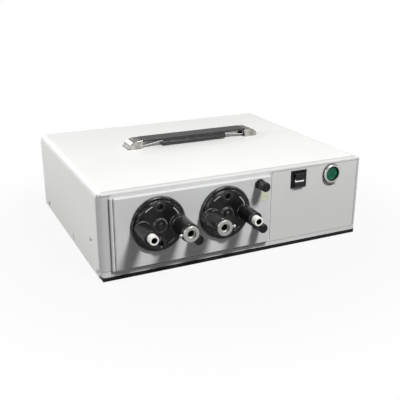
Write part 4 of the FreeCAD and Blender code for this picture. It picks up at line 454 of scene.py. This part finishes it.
def paint_bore_shade(finish, mouth, half_width):
    """Painted shade on the wall inside a bore that runs back from the middle of its mouth."""
    soft_edge, first_shade, full_shade = 0.0002, 0.0002, 0.0009
    bore_shade_colour = (0.008, 0.008, 0.008)
    tree = finish.node_tree
    shader = tree.nodes["Principled BSDF"]
    where = wire(tree, "ShaderNodeTexCoord")
    line = wire(tree, "ShaderNodeVectorMath", settings={"operation": "SUBTRACT"},
                values={1: mouth}, links={0: where.outputs["Object"]})
    across = wire(tree, "ShaderNodeVectorMath", settings={"operation": "MULTIPLY"}, values={1: (1, 0, 1)},
                  links={0: line.outputs[0]})
    off_line = wire(tree, "ShaderNodeVectorMath", settings={"operation": "LENGTH"},
                    links={0: across.outputs[0]})
    inside = wire(tree, "ShaderNodeMapRange",
                  values={"From Min": half_width + soft_edge, "From Max": half_width},
                  links={"Value": off_line.outputs["Value"]})
    depth = wire(tree, "ShaderNodeSeparateXYZ", links={0: line.outputs[0]})
    behind_mouth = wire(tree, "ShaderNodeMapRange",
                        values={"From Min": first_shade, "From Max": full_shade},
                        links={"Value": depth.outputs["Y"]})
    mask = wire(tree, "ShaderNodeMath", settings={"operation": "MULTIPLY"},
                links={0: inside.outputs[0], 1: behind_mouth.outputs[0]})
    wall = mix_colour(tree, mask.outputs[0], shader.inputs["Base Color"].links[0].from_socket, bore_shade_colour)
    tree.links.new(wall, shader.inputs["Base Color"])
    plated = wire(tree, "ShaderNodeMapRange",
                  values={"To Min": shader.inputs["Metallic"].default_value, "To Max": 0.0},
                  links={"Value": mask.outputs[0]})
    tree.links.new(plated.outputs[0], shader.inputs["Metallic"])


for side, tip_x, collar_x in (("left", -0.1475, -0.0985), ("right", -0.003, -0.052)):
    tip_plastic = coated(f"tip_white_plastic_{side}", (0.86, 0.85, 0.81), (0.8, 0.78, 0.72),
                         (0.7, 0.69, 0.65), 0.4, grain=1800, depth=0.00001, patch=60, rub_and_glint=0.4,
                         width=0.0004, dust=0.05, round_off=0.0005)
    paint_bore_shade(tip_plastic, (tip_x, -0.1885, 0.073), 0.0045)
    dress(tip_plastic, f"slim_tip_{side}")
    collar_plate = bare_metal(f"lock_collar_satin_{side}", (0.6, 0.6, 0.585), (0.48, 0.48, 0.46), 0.4,
                              stretch=(1, 0.06, 1), lines=1200, depth=0.00001)
    paint_bore_shade(collar_plate, (collar_x, -0.1895, 0.073), 0.0045)
    dress(collar_plate, f"lock_collar_{side}")


# Index strokes on the turret discs: pale paint wiped into shallow cuts that run round the face and
# left a hair proud, so that the operator sees which port stands at the lamp.
stroke_paint = coated("stroke_pale_paint", (0.6, 0.6, 0.61), (0.3, 0.3, 0.31), (0.7, 0.7, 0.7), 0.45,
                      grain=2600, depth=0.00002, patch=300, rub_and_glint=0.2, dust=0.02)


def index_stroke(name, centre_x, start, sweep, body):
    """A short raised stroke along a circle of the disc's face.

    It starts at an angle in degrees from the right and sweeps upward through another.
    """
    face_y, height = -0.1457, 0.073
    centre = Vector((centre_x, face_y, height))
    reach = 0.0284
    stroke_wide, stroke_thick = 0.0013, 0.0003
    begin = math.radians(start)
    bpy.ops.object.select_all(action="DESELECT")
    bpy.ops.mesh.primitive_plane_add(
        size=1, location=centre + Vector((reach * math.cos(begin), 0, reach * math.sin(begin))),
        rotation=(0, -begin, 0))
    stroke = bpy.context.object
    stroke.name = name
    stroke.scale = (stroke_wide, stroke_thick, 1)
    bpy.ops.object.transform_apply(location=True, rotation=True, scale=True)
    bpy.ops.object.mode_set(mode="EDIT")
    bpy.ops.mesh.select_all(action="SELECT")
    bpy.ops.mesh.spin(steps=max(4, int(sweep / 3)), angle=math.radians(sweep), center=centre,
                      axis=(0, 1, 0))
    bpy.ops.mesh.select_all(action="SELECT")
    bpy.ops.mesh.remove_doubles(threshold=0.000001)
    bpy.ops.mesh.normals_make_consistent(inside=False)
    bpy.ops.object.mode_set(mode="OBJECT")
    soften = stroke.modifiers.new("soft_rim", "BEVEL")
    soften.width = 0.00007
    soften.segments = 2
    bpy.ops.object.modifier_apply(modifier="soft_rim")
    stroke.data.materials.append(stroke_paint)
    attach(stroke, body)


for side, centre_x in (("left", -0.123), ("right", -0.0275)):
    for place, (start, sweep) in enumerate(((110, 23), (17, 32), (-68, 21), (-138, 18))):
        index_stroke(f"index_stroke_{side}_{place}", centre_x, start, sweep, f"{side}_turret_unit")


# Knobs, shutters and the door latch: moulded black knobs on steel shafts with steel vanes behind.
# The knobs are smoother than the turrets, with a rim worn by fingers.
knob_plastic = coated("knob_black_plastic", (0.006, 0.006, 0.007), (0.01, 0.01, 0.011),
                      (0.09, 0.09, 0.09), 0.3, grain=2400, depth=0.00002, patch=60, rub_and_glint=0.5,
                      width=0.0005, dust=0.06, gleam=0.3)
dress(knob_plastic, "intensity_knob_left", "intensity_knob_right", "latch_knob")
shutter_steel = bare_metal("shutter_steel", (0.36, 0.36, 0.38), (0.26, 0.25, 0.25), 0.4,
                           stretch=(1, 1, 0.1))
dress(shutter_steel, "shutter_left", "shutter_right", "latch_pawl")


# Blank tag under the latch knob: pale foil on the door, bare, with a shallow frame pressed in it.
tag_foil = coated("tag_pale_foil", (0.62, 0.625, 0.47), (0.5, 0.51, 0.38), (0.7, 0.7, 0.55), 0.42,
                  grain=900, depth=0.00004, patch=160, rub_and_glint=0.3, dust=0.05, gleam=0.35)
bpy.ops.object.select_all(action="DESELECT")
bpy.ops.mesh.primitive_cube_add(size=1, location=(0.03325, -0.13885, 0.08675))
latch_tag = bpy.context.object
latch_tag.name = "latch_tag"
latch_tag.scale = (0.0125, 0.0005, 0.0125)
bpy.ops.object.transform_apply(location=True, rotation=True, scale=True)
rim = latch_tag.modifiers.new("rim", "BEVEL")
rim.width = 0.00015
rim.segments = 2
bpy.ops.object.modifier_apply(modifier="rim")
bpy.ops.object.mode_set(mode="EDIT")
bpy.ops.mesh.select_all(action="DESELECT")
tag_mesh = bmesh.from_edit_mesh(latch_tag.data)
for face in tag_mesh.faces:
    face.select = face.normal.y < -0.99
bmesh.update_edit_mesh(latch_tag.data)
bpy.ops.mesh.inset(thickness=0.0009)
bpy.ops.mesh.inset(thickness=0.00015, depth=-0.00009)
bpy.ops.object.mode_set(mode="OBJECT")
latch_tag.data.materials.append(tag_foil)
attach(latch_tag, "door")


# Power switch and push button: a moulded rocker in its bezel with a white bar across it that is a
# painted highlight along its ridge, and a green lens in a chromed ring over a rubber washer, with the
# contact block behind the panel. Three short strokes stand for the caption printed under the button.
switch_plastic = coated("switch_black_plastic", (0.006, 0.006, 0.007), (0.01, 0.01, 0.011),
                        (0.06, 0.06, 0.06), 0.38, grain=2600, depth=0.00002, rub_and_glint=0.3, dust=0.06,
                        gleam=0.2)
dress(switch_plastic, "power_switch")
rocker_plastic = coated("rocker_black_plastic", (0.007, 0.007, 0.008), (0.012, 0.012, 0.013),
                        (0.1, 0.1, 0.1), 0.26, grain=2600, depth=0.00001, rub_and_glint=0.4, dust=0.06,
                        gleam=0.3)
dress(rocker_plastic, "switch_rocker")
ridge_highlight_white = coated("ridge_highlight_white_plastic", (0.78, 0.78, 0.77), (0.7, 0.7, 0.69), (0.6, 0.6, 0.59), 0.35,
                    grain=2200, depth=0.00001, patch=90, rub_and_glint=0.2, dust=0.03)


def raised_bar(name, place, size, turn, finish, body, rim=0.0002):
    """A thin plate or bar with rounded corners and a softened face, seated on what carries it."""
    bpy.ops.object.select_all(action="DESELECT")
    bpy.ops.mesh.primitive_cube_add(size=1, location=place, rotation=turn)
    bar = bpy.context.object
    bar.name = name
    bar.scale = size
    bpy.ops.object.transform_apply(location=True, rotation=True, scale=True)
    corners = bar.modifiers.new("corners", "BEVEL")
    corners.width = rim
    corners.segments = 3
    corners.limit_method = "NONE"
    bpy.ops.object.modifier_apply(modifier="corners")
    bar.data.materials.append(finish)
    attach(bar, body)


# Painted highlight: a white bar and a short hook across the rocker, where its ridge catches the light.
raised_bar("rocker_ridge_highlight", (0.092, -0.13533, 0.0989), (0.0148, 0.0006, 0.0019), (math.radians(-8), 0, 0),
           ridge_highlight_white, "rocker", rim=0.00025)
raised_bar("rocker_ridge_highlight_hook", (0.0853, -0.13525, 0.1004), (0.0013, 0.0007, 0.0026),
           (math.radians(-8), 0, 0), ridge_highlight_white, "rocker", rim=0.00025)
caption_grey = coated("caption_grey_print", (0.12, 0.12, 0.12), (0.18, 0.18, 0.18), (0.4, 0.4, 0.4), 0.5,
                      grain=2600, depth=0.00002, patch=400, rub_and_glint=0.2, dust=0.02)
for place, (shift, long) in enumerate(((-0.0052, 0.0022), (-0.0014, 0.0042), (0.0036, 0.0034))):
    raised_bar(f"button_caption_{place}", (0.1505 + shift, -0.13255, 0.0852), (long, 0.00022, 0.0017),
               (0, 0, 0), caption_grey, "casing", rim=0.00006)
ring_plate = bare_metal("button_ring_chrome", (0.78, 0.79, 0.79), (0.68, 0.68, 0.68), 0.2,
                        stretch=(1, 1, 1), lines=500, depth=0.000004)
# Painted shade: the inside of the ring is darkened, where its wall and rim shade the recessed lens.
paint_bore_shade(ring_plate, (0.147, -0.1374, 0.103), 0.0111)
dress(ring_plate, "button_ring")
contact_plastic = coated("contact_grey_plastic", (0.15, 0.16, 0.17), (0.13, 0.14, 0.15),
                         (0.3, 0.3, 0.3), 0.5)
dress(contact_plastic, "contact_block")
lens_green = coated("button_lens_green", (0.003, 0.15, 0.07), (0.002, 0.055, 0.028),
                    (0.02, 0.24, 0.12), 0.2, grain=500, depth=0.00006, patch=210, rub_and_glint=0.3, dust=0.02,
                    gleam=0.3)
dress(lens_green, "button_lens")


# Handle: two chromed castings, a moulded black grip with finger windows, and the steel strap that
# runs through it and lifts in the castings.
cap_plate = bare_metal("cap_chrome", (0.56, 0.55, 0.53), (0.26, 0.25, 0.235), 0.2, stretch=(1, 1, 1),
                       lines=260, depth=0.00006, patch=120, rub_and_glint=0.7, width=0.0006)
dress(cap_plate, "handle_caps")
grip_plastic = coated("grip_black_plastic", (0.013, 0.013, 0.0145), (0.02, 0.02, 0.022),
                      (0.2, 0.2, 0.21), 0.27, grain=1300, depth=0.00004, patch=20, rub_and_glint=0.6,
                      width=0.001, dust=0.1, gleam=0.5, round_off=0.0008)
dress(grip_plastic, "handle_grip")
strap_plate = bare_metal("strap_steel", (0.78, 0.78, 0.77), (0.66, 0.65, 0.63), 0.22,
                         stretch=(0.06, 1, 1), lines=1100)
dress(strap_plate, "handle_strap")


# Lamp bay: reflector lamps in ceramic sockets on insulating stands, clamped in finned sinks, with
# clear heat glass and lenses in zinc holders in front of them and an igniter box behind each.
lamp_ceramic = coated("lamp_ceramic", (0.76, 0.74, 0.68), (0.68, 0.64, 0.56), (0.8, 0.79, 0.75), 0.4,
                      grain=1500, depth=0.00002, patch=40, dust=0.15)
dress(lamp_ceramic, "lamps")
stand_board = coated("stand_insulator", (0.5, 0.37, 0.2), (0.42, 0.3, 0.16), (0.6, 0.48, 0.3), 0.5,
                     grain=1200, patch=25)
dress(stand_board, "lamp_stands")
igniter_resin = coated("igniter_resin", (0.045, 0.055, 0.075), (0.06, 0.07, 0.09),
                       (0.12, 0.13, 0.15), 0.4, grain=1100)
dress(igniter_resin, "igniters")
sink_metal = bare_metal("sink_aluminium", (0.68, 0.68, 0.69), (0.56, 0.55, 0.54), 0.34,
                        stretch=(1, 0.05, 1), lines=800)
dress(sink_metal, "heat_sinks")
lamp_glass = bpy.data.materials.new("lamp_glass")
lamp_glass.use_nodes = True
glass = lamp_glass.node_tree
clear = glass.nodes["Principled BSDF"]
clear.inputs["Transmission Weight"].default_value = 0.92
clear.inputs["IOR"].default_value = 1.47
hue = group_step(glass, tone_drift, {"Clean": (0.93, 0.97, 0.98, 1), "Aged": (0.86, 0.93, 0.95, 1),
                                     "Patch": 60.0})
glass.links.new(hue.outputs["Colour"], clear.inputs["Base Color"])
film = group_step(glass, skin_grain, {"Grain": 260.0})
smear = wire(glass, "ShaderNodeMapRange", values={"To Min": 0.02, "To Max": 0.09},
             links={"Value": film.outputs["Speck"]})
glass.links.new(smear.outputs[0], clear.inputs["Roughness"])
dress(lamp_glass, "lamp_optics")


# Lamp supply: a printed board on brass standoffs with an iron core, copper winding, storage cans
# and finned cooling racks, all behind the control panel.
board_mask = coated("board_green", (0.02, 0.13, 0.06), (0.025, 0.16, 0.075), (0.2, 0.3, 0.18), 0.34,
                    grain=800, depth=0.00002, patch=45, dust=0.2, gloss_coat=0.3)
dress(board_mask, "supply_board")
brass_bar = bare_metal("standoff_brass", (0.8, 0.62, 0.3), (0.6, 0.44, 0.2), 0.25, stretch=(1, 1, 0.06))
dress(brass_bar, "board_standoffs", "earth_stud")
core_iron = bare_metal("core_iron", (0.2, 0.19, 0.19), (0.14, 0.12, 0.11), 0.5, stretch=(1, 0.02, 1),
                       lines=2600, depth=0.00005)
dress(core_iron, "transformer_core")
winding_wire = bare_metal("winding_copper", (0.72, 0.33, 0.14), (0.5, 0.2, 0.08), 0.3,
                          stretch=(0.02, 0.02, 1), lines=1400, depth=0.0002)
dress(winding_wire, "transformer_winding")
can_sleeve = coated("can_sleeve", (0.02, 0.035, 0.11), (0.025, 0.045, 0.13), (0.3, 0.3, 0.3), 0.25,
                    grain=900, gloss_coat=0.4)
dress(can_sleeve, "storage_capacitors")


# Rear: two boxed fans behind wire guards, the mains inlet with its fuse drawer, and the earth stud.
fan_plastic = coated("fan_black_plastic", (0.02, 0.02, 0.021), (0.03, 0.03, 0.031), (0.1, 0.1, 0.1),
                     0.42, grain=1500, depth=0.00003, dust=0.4)
dress(fan_plastic, "fan_frames", "fan_impeller_left", "fan_impeller_right")
guard_wire = bare_metal("guard_chrome", (0.74, 0.74, 0.74), (0.55, 0.54, 0.52), 0.16,
                        stretch=(1, 1, 1), lines=600)
dress(guard_wire, "fan_guards")
inlet_plastic = coated("inlet_black_plastic", (0.014, 0.014, 0.015), (0.022, 0.022, 0.023),
                       (0.09, 0.09, 0.09), 0.34, grain=1700, depth=0.00003, rub_and_glint=0.4, dust=0.15)
dress(inlet_plastic, "mains_inlet")
drawer_plastic = coated("drawer_grey_plastic", (0.07, 0.07, 0.075), (0.085, 0.085, 0.09),
                        (0.16, 0.16, 0.16), 0.36, grain=1700, rub_and_glint=0.4)
dress(drawer_plastic, "fuse_drawer")
